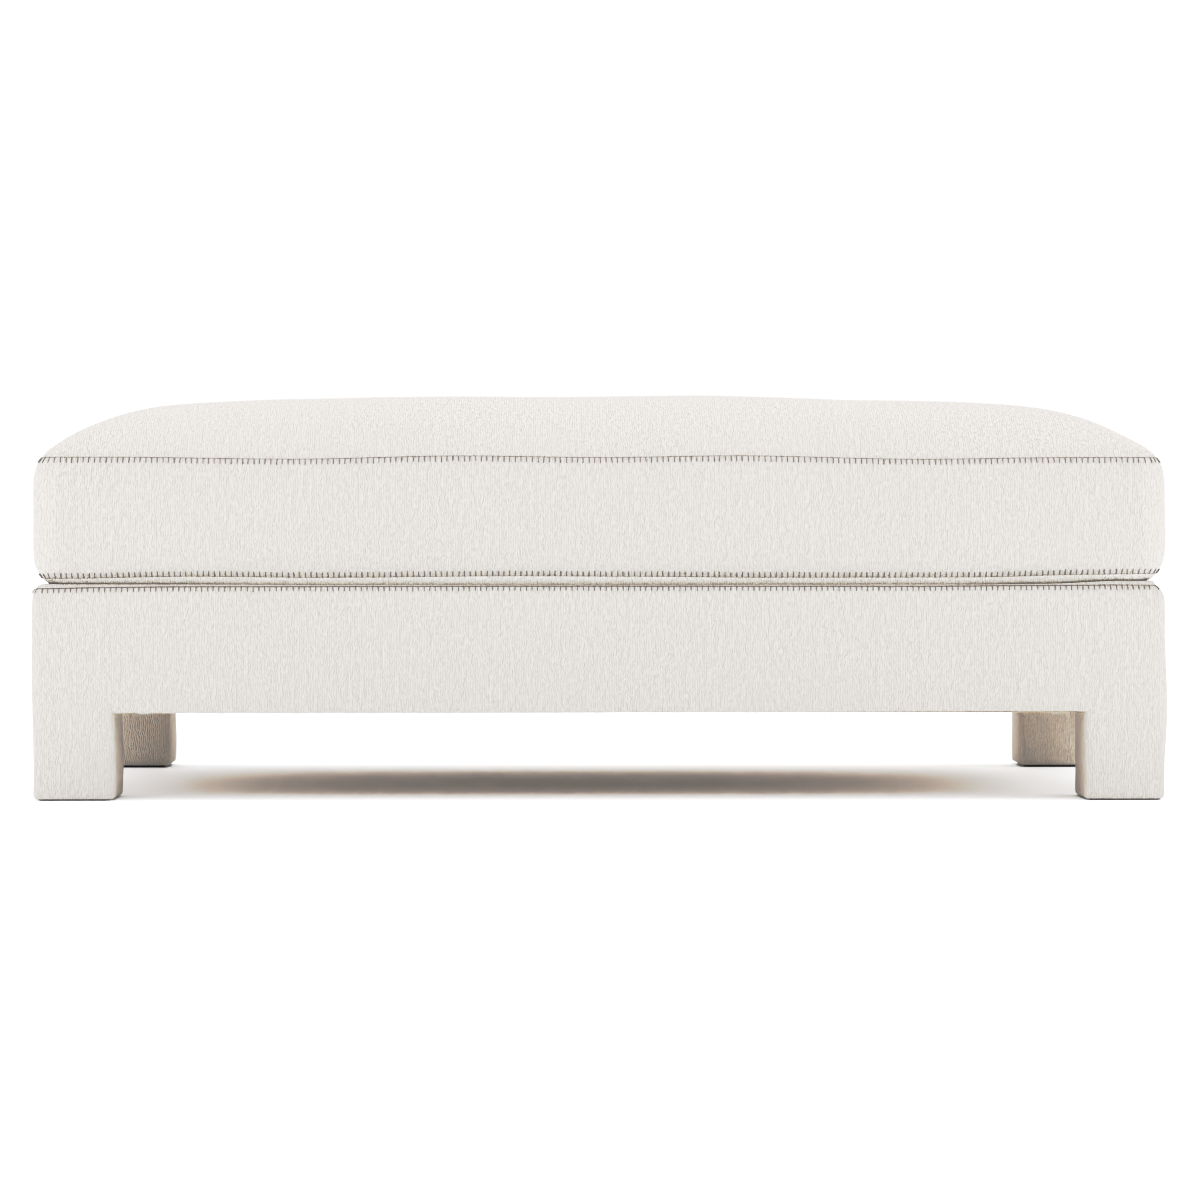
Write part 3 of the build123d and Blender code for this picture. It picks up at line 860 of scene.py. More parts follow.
@dataclass(frozen=True)
class CrepeFinish(Finish):
    """Off-white upholstery crepe with slubs in wandering ribs.

    Attributes:
        rib: width of a rib, in metres.
        slub: length of a slub, in metres.
        depth: depth of the relief, in metres.
        contrast: how much darker the valleys are painted, as painted shade.
    """

    rib: float = 0.0028
    slub: float = 0.008
    depth: float = 0.0012
    contrast: float = 0.12

    def draw(self, desk: NodeDesk, shader: ShaderNode, groups: dict[str, Tree]) -> None:
        """Draws ribs in the height, with painted shade in their valleys and slow changes in tone
        over them.
        """
        cloth = self.place(desk, Coordinates.CLOTH)
        weave = self.group(desk, groups["CrepeWeave"], cloth, rib=self.rib, slub=self.slub)
        space = self.place(desk, Coordinates.OBJECT)
        handling = self.group(desk, groups["Handling"], space, slow=5.0, fine=900.0)
        height = weave.outputs["Height"]
        # painted shade: the valleys between the ribs are darker and warmer and the ridges a little
        # lighter, standing in for the shade and bounced light in the relief
        red, green, blue, alpha = self.shade(1.0 - self.contrast)
        warm = (red, green * (1.0 - self.contrast / 4), blue * (1.0 - self.contrast / 2), alpha)
        colour = desk.mix(weave.outputs["Valleys"], self.shade(1.0 + self.contrast / 4), warm)
        slow = desk.remap(handling.outputs["Slow"], 0.3, 0.7, 0.0, 0.08)
        colour = desk.mix(slow, colour, self.shade(0.9))
        desk.join(colour, shader.inputs["Base Color"])
        fuzz = desk.math("MULTIPLY_ADD", handling.outputs["Fine"], 0.10, height)
        self.relief(desk, shader, fuzz, self.depth)
        shader.inputs["Sheen Weight"].default_value = 0.08
        shader.inputs["Sheen Roughness"].default_value = 0.6
        shader.inputs["Specular IOR Level"].default_value = 0.15


@dataclass(frozen=True)
class WovenFinish(Finish):
    """A plain weave, such as jute, hessian, zip tape or lining cloth.

    Attributes:
        pitch: distance between threads, in metres.
        depth: depth of the relief, in metres.
        coordinates: what the weave is laid out on.
    """

    pitch: float = 0.0012
    depth: float = 0.0003
    coordinates: Coordinates = Coordinates.OBJECT

    def draw(self, desk: NodeDesk, shader: ShaderNode, groups: dict[str, Tree]) -> None:
        """Draws threads with dark gaps, flecks and slow shade changes."""
        place = self.place(desk, self.coordinates)
        weave = self.group(desk, groups["PlainWeave"], place, pitch=self.pitch)
        handling = self.group(desk, groups["Handling"], place, slow=14.0, fine=700.0)
        colour = desk.mix(weave.outputs["Gaps"], self.shade(1.08), self.shade(0.55))
        fleck = desk.remap(handling.outputs["Fine"], 0.45, 0.7, 0.0, 0.4)
        colour = desk.mix(fleck, colour, self.shade(0.72))
        slow = desk.remap(handling.outputs["Slow"], 0.35, 0.7, 0.0, 0.3)
        desk.join(desk.mix(slow, colour, self.shade(0.85)), shader.inputs["Base Color"])
        self.relief(desk, shader, weave.outputs["Height"], self.depth)
        shader.inputs["Specular IOR Level"].default_value = 0.2


@dataclass(frozen=True)
class ThreadFinish(Finish):
    """Twisted stitching thread, with its twist drawn by slanting bands."""

    def draw(self, desk: NodeDesk, shader: ShaderNode, groups: dict[str, Tree]) -> None:
        """Draws the twist in the height and the colour."""
        space = self.place(desk, Coordinates.OBJECT)
        handling = self.group(desk, groups["Handling"], space, slow=40.0, fine=1400.0)
        wave = desk.node("ShaderNodeTexWave", wave_type="BANDS", bands_direction="DIAGONAL")
        desk.join(space, wave.inputs["Vector"])
        wave.inputs["Scale"].default_value = 260.0
        wave.inputs["Distortion"].default_value = 1.5
        colour = desk.mix(wave.outputs["Fac"], self.shade(0.82), self.shade(1.12))
        slow = desk.remap(handling.outputs["Slow"], 0.3, 0.7, 0.0, 0.5)
        desk.join(desk.mix(slow, colour, self.shade(1.25)), shader.inputs["Base Color"])
        self.relief(desk, shader, wave.outputs["Fac"], 0.0002)
        shader.inputs["Sheen Weight"].default_value = 0.1


@dataclass(frozen=True)
class TimberFinish(Finish):
    """Sawn softwood of the hidden frame."""

    def draw(self, desk: NodeDesk, shader: ShaderNode, groups: dict[str, Tree]) -> None:
        """Draws bands and pores in the colour, under a fine relief."""
        space = self.place(desk, Coordinates.OBJECT)
        grain = self.group(desk, groups["TimberGrain"], space)
        handling = self.group(desk, groups["Handling"], space, slow=9.0, fine=500.0)
        colour = desk.mix(grain.outputs["Grain"], self.shade(0.78), self.shade(1.1))
        pores = desk.math("MULTIPLY", grain.outputs["Pores"], 0.5)
        colour = desk.mix(pores, colour, self.shade(0.45))
        slow = desk.remap(handling.outputs["Slow"], 0.35, 0.7, 0.0, 0.35)
        desk.join(desk.mix(slow, colour, self.shade(0.8)), shader.inputs["Base Color"])
        self.relief(desk, shader, handling.outputs["Fine"], 0.0003, 0.5)


@dataclass(frozen=True)
class HardFinish(Finish):
    """Moulded plastic or drawn metal with fine scuffs.

    Attributes:
        metallic: the shader's metallic.
        scuff: depth of the surface texture, in metres.
    """

    metallic: float = 0.0
    scuff: float = 0.0001

    def draw(self, desk: NodeDesk, shader: ShaderNode, groups: dict[str, Tree]) -> None:
        """Draws slow changes in shade and roughness, and scuffs."""
        space = self.place(desk, Coordinates.OBJECT)
        handling = self.group(desk, groups["Handling"], space, slow=60.0, fine=1600.0)
        slow = desk.remap(handling.outputs["Slow"], 0.3, 0.7, 0.0, 0.5)
        desk.join(desk.mix(slow, self.shade(1.0), self.shade(0.8)), shader.inputs["Base Color"])
        rough = desk.remap(
            handling.outputs["Slow"], 0.3, 0.7, self.roughness * 0.85, self.roughness * 1.15
        )
        desk.join(rough, shader.inputs["Roughness"])
        shader.inputs["Metallic"].default_value = self.metallic
        self.relief(desk, shader, handling.outputs["Fine"], self.scuff, 0.5)


@dataclass(frozen=True)
class Upholstery:
    """Every finish of the table, made once.

    Attributes:
        materials: the materials by material slot.
    """

    materials: dict[str, Material]

    @classmethod
    def make(cls) -> "Upholstery":
        """Makes the shared groups and each slot's material.

        Returns:
            The set of finishes.
        """
        groups = {
            tree.name: tree
            for tree in (
                crepe_weave_group(), plain_weave_group(), handling_group(), timber_grain_group()
            )
        }
        finishes: dict[str, Finish] = {
            "upholstery_fabric": CrepeFinish("upholstery_crepe", (0.538, 0.506, 0.460), 0.9),
            "stitch_thread": ThreadFinish("stitch_thread", (0.17, 0.16, 0.148), 0.75),
            "frame_timber": TimberFinish("frame_timber", (0.62, 0.44, 0.26), 0.65),
            "dowel_timber": TimberFinish("dowel_timber", (0.66, 0.50, 0.33), 0.55),
            "jute_webbing": WovenFinish(
                "jute_webbing", (0.42, 0.30, 0.17), 0.9, pitch=0.003, depth=0.0008
            ),
            "hessian_cloth": WovenFinish(
                "hessian_cloth", (0.48, 0.36, 0.21), 0.95, pitch=0.002, depth=0.0006
            ),
            "dust_cover_cloth": WovenFinish("dust_cover_cloth", (0.64, 0.535, 0.44), 0.9),
            "glide_plastic": HardFinish("glide_plastic", (0.018, 0.018, 0.019), 0.45),
            "zip_tape_cloth": WovenFinish(
                "zip_tape_cloth", (0.72, 0.69, 0.64), 0.85, pitch=0.0009, depth=0.0002
            ),
            "zip_coil_nylon": HardFinish("zip_coil_nylon", (0.70, 0.68, 0.63), 0.35),
            "zip_metal": HardFinish(
                "zip_metal", (0.62, 0.61, 0.59), 0.32, metallic=1.0, scuff=0.00005
            ),
            "steel": HardFinish("steel", (0.5, 0.5, 0.5), 0.38, metallic=1.0, scuff=0.00005),
        }
        return cls({slot: finish.make(groups) for slot, finish in finishes.items()})

    def dress(self, obj: Object, slot: str) -> None:
        """Gives a piece a slot's material.

        Args:
            obj: the piece.
            slot: the material slot of the record.
        """
        obj.data.materials.clear()
        obj.data.materials.append(self.materials[slot])

    def hand_over(self, obj: Object, slot: str, body: str, nodes: Sequence[str]) -> None:
        """Dresses a finished piece, fixes it to its body and has it stand for CAD nodes.

        Args:
            obj: the piece.
            slot: the material slot of the record.
            body: the body it moves with.
            nodes: the CAD nodes that it stands for.
        """
        self.dress(obj, slot)
        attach(obj, body)
        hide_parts(*nodes)
        log.info("%s: %d faces on %s, for %s", obj.name, len(obj.data.polygons), body,
                 ", ".join(nodes))

    def upholster(self, obj: Object, body: str, nodes: Sequence[str], fill: float) -> None:
        """Rounds and thickens a cloth panel and hands it over.

        Args:
            obj: the panel.
            body: the joint body that it moves with.
            nodes: the CAD nodes that it stands for.
            fill: how full it is, 1 being tight; not used.
        """
        fine(obj, 1)
        thicken(obj, COVER_THICKNESS)
        self.hand_over(obj, "upholstery_fabric", body, nodes)


@dataclass(frozen=True)
class SeamLine:
    """How the height of a hand-closed seam wanders on its way round.

    Attributes:
        height: its height on the whole, in metres.
        front: places along the front and how far the seam is above its height there.
        wander: the swells elsewhere.
    """

    height: float
    front: Points
    wander: Unevenness

    def at(self, x: Array, y: Array) -> Array:
        """Height of the seam at places on the plan.

        On the front it is read off the list with rounded steps, and towards the back the
        wander takes over.

        Args:
            x: places along the length.
            y: places along the depth.

        Returns:
            The heights, in metres.
        """
        places = np.array([place for place, _ in self.front])
        rises = np.array([rise for _, rise in self.front])
        step = np.clip(np.searchsorted(places, x) - 1, 0, len(places) - 2)
        share = eased((x - places[step]) / (places[step + 1] - places[step]))
        listed = rises[step] + (rises[step + 1] - rises[step]) * share
        behind = eased((y + 0.30) / 0.25)
        free = self.wander.at(stacked(x, y, np.zeros_like(x)))
        return self.height + listed * (1.0 - behind) + free * behind


CREVICE = SeamLine(
    0.2620,
    ((-0.72, 0.0008), (-0.50, 0.0004), (-0.35, -0.0004), (0.0, -0.0003), (0.45, 0.0001),
     (0.54, 0.0012), (0.63, 0.0050), (0.72, 0.0051)),
    Unevenness(0.0004, 0.3, 0.9, 13),
)
"""Middle of the narrow gap between the cushion's curled edge and the deck's rolled one."""


@dataclass
class Strip:
    """A surface beside a seam, as rows of points that run along the seam.

    Attributes:
        rows: points, the first row on the seam, each row ending where it starts.
    """

    rows: Array

    def __post_init__(self) -> None:
        """Measures the seam and the distance of each row from it."""
        self.station = run_length(self.rows[None, 0], 1)[0]
        gaps = np.linalg.norm(np.diff(self.rows, axis=0), axis=-1).mean(1)
        self.drop = np.concatenate([[0.0], np.cumsum(gaps)])
        along = np.gradient(self.rows, axis=1)
        along[:, [0, -1]] = (along[:, [0]] + along[:, [-1]]) / 2.0
        self.out = unit(np.cross(np.gradient(self.rows, axis=0), along))

    @property
    def length(self) -> float:
        """Length of the seam, in metres."""
        return float(self.station[-1])

    def facing_out(self, row: int) -> "Strip":
        """Turns the outward directions away from the table's middle.

        Args:
            row: the row that tells which way they point.

        Returns:
            The strip itself.
        """
        towards = (self.out[row, :, :2] * self.rows[row, :, :2]).sum(-1).mean()
        self.out = self.out if towards > 0.0 else -self.out
        return self

    def sample(self, field_rows: Array, station: Array, drop: Array) -> Array:
        """Reads rows of vectors between their points.

        Args:
            field_rows: vectors at the strip's points.
            station: distances along the seam.
            drop: distances from the seam.

        Returns:
            A vector for each pair of distances.
        """
        station = np.mod(station, self.length)
        column = np.clip(np.searchsorted(self.station, station) - 1, 0, len(self.station) - 2)
        row = np.clip(np.searchsorted(self.drop, drop) - 1, 0, len(self.drop) - 2)
        before, after = self.station[column], self.station[column + 1]
        across = (station - before) / (after - before)
        down = (drop - self.drop[row]) / (self.drop[row + 1] - self.drop[row])
        across, down = across[..., None], np.clip(down, 0.0, 1.5)[..., None]
        near = field_rows[row, column] * (1 - across) + field_rows[row, column + 1] * across
        far = field_rows[row + 1, column] * (1 - across) + field_rows[row + 1, column + 1] * across
        return near * (1 - down) + far * down

    def at(self, station: Array, drop: Array, lift: Array | float) -> tuple[Array, Array]:
        """Places on or off the surface.

        Args:
            station: distances along the seam.
            drop: distances from the seam.
            lift: distance off the surface.

        Returns:
            The places and the outward directions there.
        """
        out = unit(self.sample(self.out, station, drop))
        lifted = np.broadcast_to(np.asarray(lift, dtype=float), station.shape)[..., None]
        return self.sample(self.rows, station, drop) + lifted * out, out


@dataclass(frozen=True)
class BlanketStitch:
    """Blanket stitch along a seam: a thread on the seam, and a bar from it at each stitch.

    Attributes:
        name: the piece's name.
        bar: length of a bar, in metres.
        thin: diameter of the thread where it runs along the seam, drawn into the cloth.
        seed: picks the small differences from stitch to stitch.
        pitch: distance from bar to bar.
        thick: diameter of the thread in a bar.
        stray: how far a bar's start and lean stray, as a share of the pitch.
        uneven: how much the bars differ in length.
        sides: number of sides of the thread's section.
    """

    name: str
    bar: float
    thin: float
    seed: int
    pitch: float = 0.00688
    thick: float = 0.00150
    stray: float = 0.025
    uneven: float = 0.03
    sides: int = 6

    def build(self, strip: Strip) -> Object:
        """Sews the stitch along a strip.

        A bar is a tube of five steps that leaves the seam, lies on the cloth and dips into
        it. The thread on the seam runs from bar to bar and sags a little between them.

        Args:
            strip: the surface that the bars lie on.

        Returns:
            The piece.
        """
        rng = np.random.default_rng(self.seed)
        count = int(round(strip.length / self.pitch))
        step = strip.length / count
        half = self.thick / 2.0
        start = np.arange(count) * step + rng.normal(0.0, self.stray, count) * step
        lean = rng.normal(0.0, self.stray, count) * step
        size = self.bar * (1.0 + rng.normal(0.0, self.uneven, count))
        share = np.array([0.0, 0.12, 0.5, 0.86, 1.0])
        lift = np.array([0.2, 0.75, 0.75, 0.6, -0.7]) * half
        width = np.array([0.85, 1.0, 1.0, 0.95, 0.7]) * half
        station = start[:, None] + lean[:, None] * share
        places, out = strip.at(station, size[:, None] * share, np.tile(lift, (count, 1)))
        bars = tubes(places, np.tile(width, (count, 1)), out, self.sides, closed=False)

        steps = 4
        phase = np.arange(count * steps) / steps
        index = phase.astype(int)
        between = phase - index
        following = np.append(start[1:], strip.length + start[0])
        line = start[index] * (1.0 - between) + following[index] * between
        half = self.thin / 2.0
        sag = 0.5 * half * np.sin(np.pi * between)
        places, out = strip.at(line[None], sag[None], np.full((1, line.size), 0.6 * half))
        girth = half * (1.05 - 0.12 * np.sin(np.pi * between))
        thread = tubes(places, girth[None], out, self.sides, closed=True)
        return tube_piece(self.name, [bars, thread])


COVER_CLOTH: dict[str, float] = {
    "pin_stiffness": 1.0,
    "quality": 5,
    "mass": 0.35,
    "tension_stiffness": 40.0,
    "compression_stiffness": 40.0,
    "shear_stiffness": 20.0,
    "bending_stiffness": 4.0,
    "tension_damping": 25.0,
    "compression_damping": 25.0,
    "shear_damping": 25.0,
    "air_damping": 10.0,
}
"""Settings of the Cloth simulation for the upholstery crepe over foam."""


@dataclass
class Cushion:
    """The loose box cushion: a crowned top, bulged boxing, an underside and three seams.

    Attributes:
        half_x: half the length along the seams, in metres.
        half_y: half the depth along the seams.
        corner: corner radius of the seams.
        corner_growth: how the corners open towards the middle of the top.
        steps_x: grid steps along the length.
        steps_y: grid steps along the depth.
        rows: grid steps up the boxing.
        bulge: how far the boxing swells beyond its seams.
        back_bulge: how far it swells at the back, where the zip lies on it.
        bulge_power: how square the swell is.
        crown: height of the top above its seam.
        puff: quick rise just inside the seam.
        puff_reach: how far in that rise takes.
        shoulder: reach over which the crown's shoulder levels off.
        shoulder_power: how steeply the shoulder starts.
        dome_share: share of the crown that goes on rising to the middle.
        end_fall: share by which the crown is lower towards its ends.
        lean: how much higher the left end is than the middle.
        dip: depth of the shallow hollow near the middle.
        dip_x: place of the hollow along the length.
        dip_reach: how far it spreads along the length.
        seam_follow: how far in the top follows the wander of its seam.
        curl_reach: width of the underside's curled edge.
        curl_power: how round the curl is, 1 being a straight slope.
        rest: height at which the underside rests.
        rest_reach: how far behind the curl it comes to rest.
        fold_drop: how far below the middle of the crevice the curl folds.
        fold_tuck: how much lower still it folds, but for the ends.
        return_y: depth beyond which the boxing is the back's, with the zip.
        zip_half: half the length of the zip's slot.
        zip_slot: height of the zip's slot.
        zip_height: height of the slot's middle.
        zip_hem: width of the cloth pressed in along the slot.
        hem_bend: how far that cloth bends away from the slot.
        strip_rows: rows of points up each strip beside the zip.
        pressure: what the filling presses the cover out with when it settles.
        firmness: how strongly the foam holds the cover in its form, 1 being wholly.
        frames: number of frames that it settles for.
        most_travel: what no point's travel exceeds.
        top_swell: the top's small swells.
        side_swell: the boxing's small swells.
        top_stitch: the stitch of the top seam.
        bottom_stitch: the stitch of the bottom seam.
    """

    finishes: Upholstery
    half_x: float = 0.6787
    half_y: float = 0.3680
    corner: float = 0.022
    corner_growth: float = 0.317
    steps_x: int = 128
    steps_y: int = 72
    rows: int = 14
    bulge: float = 0.0110
    back_bulge: float = 0.0102
    bulge_power: float = 6.2
    crown: float = 0.0823
    puff: float = 0.0036
    puff_reach: float = 0.003
    shoulder: float = 0.174
    shoulder_power: float = 2.89
    dome_share: float = 0.234
    end_fall: float = 0.224
    lean: float = 0.0009
    dip: float = 0.0030
    dip_x: float = -0.012
    dip_reach: float = 0.11
    seam_follow: float = 0.05
    curl_reach: float = 0.007
    curl_power: float = 1.2
    rest: float = 0.2604
    rest_reach: float = 0.045
    fold_drop: float = 0.0003
    fold_tuck: float = 0.0010
    return_y: float = 0.252
    zip_half: float = 0.500
    zip_slot: float = 0.014
    zip_height: float = 0.34065
    zip_hem: float = 0.0042
    hem_bend: float = 0.0006
    strip_rows: int = 9
    pressure: float = 10.0
    firmness: float = 0.4
    frames: int = 20
    most_travel: float = 0.0035
    top_swell: Unevenness = Unevenness(0.0007, 0.16, 0.5, 21)
    side_swell: Unevenness = Unevenness(0.0009, 0.09, 0.32, 31)
    top_stitch: BlanketStitch = BlanketStitch("top_seam_stitches", 0.0084, 0.00075, 41)
    bottom_stitch: BlanketStitch = BlanketStitch("bottom_seam_stitches", 0.0078, 0.0006, 42)

    def __post_init__(self) -> None:
        """Lays out the plan and the seams."""
        across = spread(self.steps_x, 0.8) * self.half_x
        along = spread(self.steps_y, 0.8) * self.half_y
        self.plan = nested_plan(
            across, along, self.half_x, self.half_y, self.corner, self.corner_growth
        )
        self.top_seam = SeamLine(
            0.4159,
            ((-0.72, 0.0001), (-0.59, 0.0002), (-0.375, -0.0021), (-0.165, 0.0019), (0.0, -0.0001),
             (0.165, 0.0021), (0.39, -0.0021), (0.57, 0.0), (0.72, 0.0001)),
            Unevenness(0.0008, 0.25, 0.9, 11),
        )
        self.bottom_seam = SeamLine(
            0.2690,
            ((-0.72, 0.0002), (-0.655, 0.0002), (-0.49, 0.0027), (-0.34, 0.0013), (-0.10, 0.0032),
             (0.05, 0.0026), (0.195, 0.0014), (0.45, 0.0016), (0.60, 0.0050), (0.66, 0.0058),
             (0.72, 0.0060)),
            Unevenness(0.0008, 0.3, 0.9, 12),
        )

    def crown_height(self) -> Array:
        """Heights of the top panel over its plan.

        At reach d the shoulder gives 1 - (1 - d / shoulder)^power, the dome
        1 - (1 - d / half depth)^2, and a puff of 1 - exp(-d / puff reach) lifts the cloth
        over the seam. The crown is lower towards both ends, a little more to the right, and
        has a shallow hollow near its middle.

        Returns:
            Heights, in metres.
        """
        plan = self.plan
        shoulder = 1.0 - np.clip(1.0 - plan.reach / self.shoulder, 0.0, 1.0) ** self.shoulder_power
        dome = 1.0 - (1.0 - plan.reach / self.half_y) ** 2
        rise = self.crown * ((1.0 - self.dome_share) * shoulder + self.dome_share * dome)
        rise = rise * (1.0 - self.end_fall * (plan.x / self.half_x) ** 2)
        rise = rise + self.puff * (1.0 - np.exp(-plan.reach / self.puff_reach))
        seam = self.top_seam.at(plan.x, plan.y) - self.top_seam.height
        rise = rise + seam * np.exp(-plan.reach / self.seam_follow)
        rise = rise - self.lean * plan.x / self.half_x * ramp(plan.reach, 0.0, 0.04)
        hollow = np.exp(-((plan.x - self.dip_x) / self.dip_reach) ** 2)
        rise = rise - self.dip * hollow * ramp(plan.reach, 0.0, 0.12)
        swell = self.top_swell.at(stacked(plan.x, plan.y, 0.0 * plan.x))
        return self.top_seam.height + rise + swell * ramp(plan.reach, 0.0, 0.06)

    def underside_height(self) -> Array:
        """Heights of the bottom panel: it curls in under the seam, folds and comes to rest.

        The curl is a quarter of a superellipse between the seam and the fold, which lies just
        below the middle of the crevice, lower away from the ends. Behind it the panel eases
        down to its rest.

        Returns:
            Heights, in metres.
        """
        plan = self.plan
        share = np.clip(1.0 - plan.reach / self.curl_reach, 0.0, 1.0)
        curl = 1.0 - (1.0 - share**self.curl_power) ** (1.0 / self.curl_power)
        seam = self.bottom_seam.at(plan.x, plan.y)
        tuck = self.fold_tuck * ramp(np.abs(plan.x), 0.52, 0.40)
        fold = CREVICE.at(plan.x, plan.y) - self.fold_drop - tuck
        behind = eased((plan.reach - self.curl_reach) / self.rest_reach)
        return fold + (seam - fold) * curl + (self.rest - fold) * behind

    def band(self, low: Array, high: Array) -> Array:
        """Rows of the boxing from its top seam down to its bottom seam.

        The share h of the way down swells by bulge * (1 - |2h - 1|^power).

        Args:
            low: heights of the bottom seam round the rim.
            high: heights of the top seam.

        Returns:
            Points, with a row and a column axis.
        """
        x, y = rim(self.plan.x), rim(self.plan.y)
        out_x, out_y = rim(self.plan.out_x), rim(self.plan.out_y)
        share = ((spread(self.rows, 0.5) + 1.0) / 2.0)[:, None]
        bulge = self.bulge + (self.back_bulge - self.bulge) * eased(y / self.half_y - 0.2)
        swell = bulge * (1.0 - np.abs(2.0 * share - 1.0) ** self.bulge_power)
        height = high + (low - high) * share
        front = 1.0 - 0.9 * eased(y / self.half_y)
        small = self.side_swell.at(stacked(x + 0.0 * share, y + 0.0 * share, height))
        swell = swell + front * small * np.sin(np.pi * share) ** 0.6
        return stacked(x + out_x * swell, y + out_y * swell, height)

    def settled(self, top: Array, band: Array, bottom: Array) -> tuple[Array, Array, Array]:
        """Blows the closed cover up a little with its seams held, as its filling does.

        The three grids are welded into one closed mesh, which Cloth fills with pressure. A
        point's travel d is then kept under the most travel m as m * tanh(d / m).

        Args:
            top: points of the top panel.
            band: points of the boxing.
            bottom: points of the bottom panel.

        Returns:
            The three grids, moved.
        """
        grids = (top, band, bottom)
        starts = np.cumsum([0] + [grid.shape[0] * grid.shape[1] for grid in grids])
        points = np.concatenate([grid.reshape(-1, 3) for grid in grids])
        keys = np.round(points / 2e-5 + 0.317).astype(np.int64)
        _, first, place = np.unique(keys, axis=0, return_index=True, return_inverse=True)
        place = place.ravel()
        quads = np.concatenate([
            grid_quads(*grid.shape[:2], flip) + start
            for grid, flip, start in zip(grids, (False, True, True), starts)
        ])
        held = np.unique(place[self.held_points(band, starts)])
        travel = self.blown_up(points[first], place[quads], held)
        far = np.linalg.norm(travel, axis=1)
        most = int(far.argmax())
        log.info("cushion settling: travel %.1f mm on the whole, at most %s mm at %s mm",
                 far.mean() * 1000, (travel[most] * 1000).round(1),
                 (points[first][most] * 1000).round())
        kept = self.most_travel * np.tanh(far / self.most_travel)
        travel = travel * (kept / np.maximum(far, 1e-9))[:, None]
        parts = np.split(points + travel[place], starts[1:-1])
        return tuple(part.reshape(grid.shape) for part, grid in zip(parts, grids))

    def held_points(self, band: Array, starts: Array) -> Array:
        """Finds the points that don't move: the seams, the resting underside and the back.

        Args:
            band: points of the boxing.
            starts: number of the first point of the top, the boxing and the underside.

        Returns:
            Numbers of points, with the three grids' points in one row.
        """
        rows, columns = band.shape[:2]
        number = np.arange(rows * columns).reshape(rows, columns) + starts[1]
        back = number[:, band[0, :, 1] > self.half_y - 0.01]
        resting = np.nonzero(self.plan.reach.ravel() > self.curl_reach)[0] + starts[2]
        return np.concatenate([number[0], number[-1], resting, back.ravel()])

    def blown_up(self, points: Array, quads: Array, held: Array) -> Array:
        """Runs the Cloth simulation on a closed cover.

        Args:
            points: the cover's vertices, one row each.
            quads: its faces.
            held: numbers of the vertices that don't move.

        Returns:
            How far each vertex has moved, one row each.
        """
        mesh = mesh_of("cushion_settling", points, quads)
        obj = linked("cushion_settling", mesh)
        group = obj.vertex_groups.new(name="held")
        group.add(list(range(len(points))), self.firmness, "REPLACE")
        group.add(held.tolist(), 1.0, "REPLACE")
        cloth = obj.modifiers.new("settle", "CLOTH")
        cloth.settings.vertex_group_mass = group.name
        cloth.settings.use_pressure = True
        cloth.settings.uniform_pressure_force = self.pressure
        cloth.settings.effector_weights.gravity = 0.0
        cloth.collision_settings.use_collision = False
        for name, value in COVER_CLOTH.items():
            setattr(cloth.settings, name, value)
        scene = bpy.context.scene
        for number in range(1, self.frames + 1):
            scene.frame_set(number)
        result = obj.evaluated_get(bpy.context.evaluated_depsgraph_get()).data
        moved = np.zeros(len(points) * 3, dtype=np.float32)
        result.vertices.foreach_get("co", moved)
        scene.frame_set(1)
        bpy.data.objects.remove(obj)
        bpy.data.meshes.remove(mesh)
        return moved.reshape(-1, 3).astype(float) - points

    def build(self) -> None:
        """Makes the cushion's cloth panels and its two stitched seams."""
        plan = self.plan
        high = self.top_seam.at(rim(plan.x), rim(plan.y))
        low = self.bottom_seam.at(rim(plan.x), rim(plan.y))
        top = stacked(plan.x, plan.y, self.crown_height())
        band = self.band(low, high)
        bottom = stacked(plan.x, plan.y, self.underside_height())
        self.weld_rims(top, band, bottom)
        top, band, bottom = self.settled(top, band, bottom)
        self.panels(top, band, bottom)
        self.stitches(band)

    def weld_rims(self, top: Array, band: Array, bottom: Array) -> None:
        """Sets the rims of both panels on the boxing's edge rows.

        Args:
            top: points of the top panel.
            band: points of the boxing.
            bottom: points of the bottom panel.
        """
        for grid, row in ((top, band[0]), (bottom, band[-1])):
            columns, rows = grid.shape[1], grid.shape[0]
            grid[0, :] = row[:columns]
            grid[1:, -1] = row[columns:columns + rows - 1]
            grid[-1, -2::-1] = row[columns + rows - 1:2 * columns + rows - 2]
            grid[-2::-1, 0] = row[2 * columns + rows - 2:]

    def panels(self, top: Array, band: Array, bottom: Array) -> None:
        """Makes the cloth panels from the settled grids.

        Args:
            top: points of the top panel.
            band: points of the boxing.
            bottom: points of the bottom panel.
        """
        crown = panel("cushion_crown", top, cloth_lengths(top))
        self.finishes.upholster(crown, "cushion", ["cushion_top_panel", "cushion_top_wrap"], 0.95)
        underside = panel("cushion_underside", bottom, cloth_lengths(bottom), flip=True)
        nodes = ["cushion_bottom_panel", "cushion_bottom_wrap"]
        self.finishes.upholster(underside, "cushion", nodes, 0.9)
        station = run_length(band[None, 0], 1)[0]
        down = run_length(band[:, :1], 0)
        cloth = paired(station, -down)
        behind = band[0, :, 1] > self.return_y
        first = int(np.argmax(behind))
        last = len(behind) - int(np.argmax(behind[::-1]))
        front = np.concatenate([band[:, last - 1:-1], band[:, :first + 1]], axis=1)
        ahead = cloth[:, :first + 1] + np.array([station[-1], 0.0])
        front_cloth = np.concatenate([cloth[:, last - 1:-1], ahead], axis=1)
        boxing = panel("cushion_boxing", front, front_cloth, flip=True)
        nodes = ["boxing_front_and_sides", "cushion_core"]
        self.finishes.upholster(boxing, "cushion", nodes, 0.95)
        self.back_strips(band[:, first:last], cloth[:, first:last])

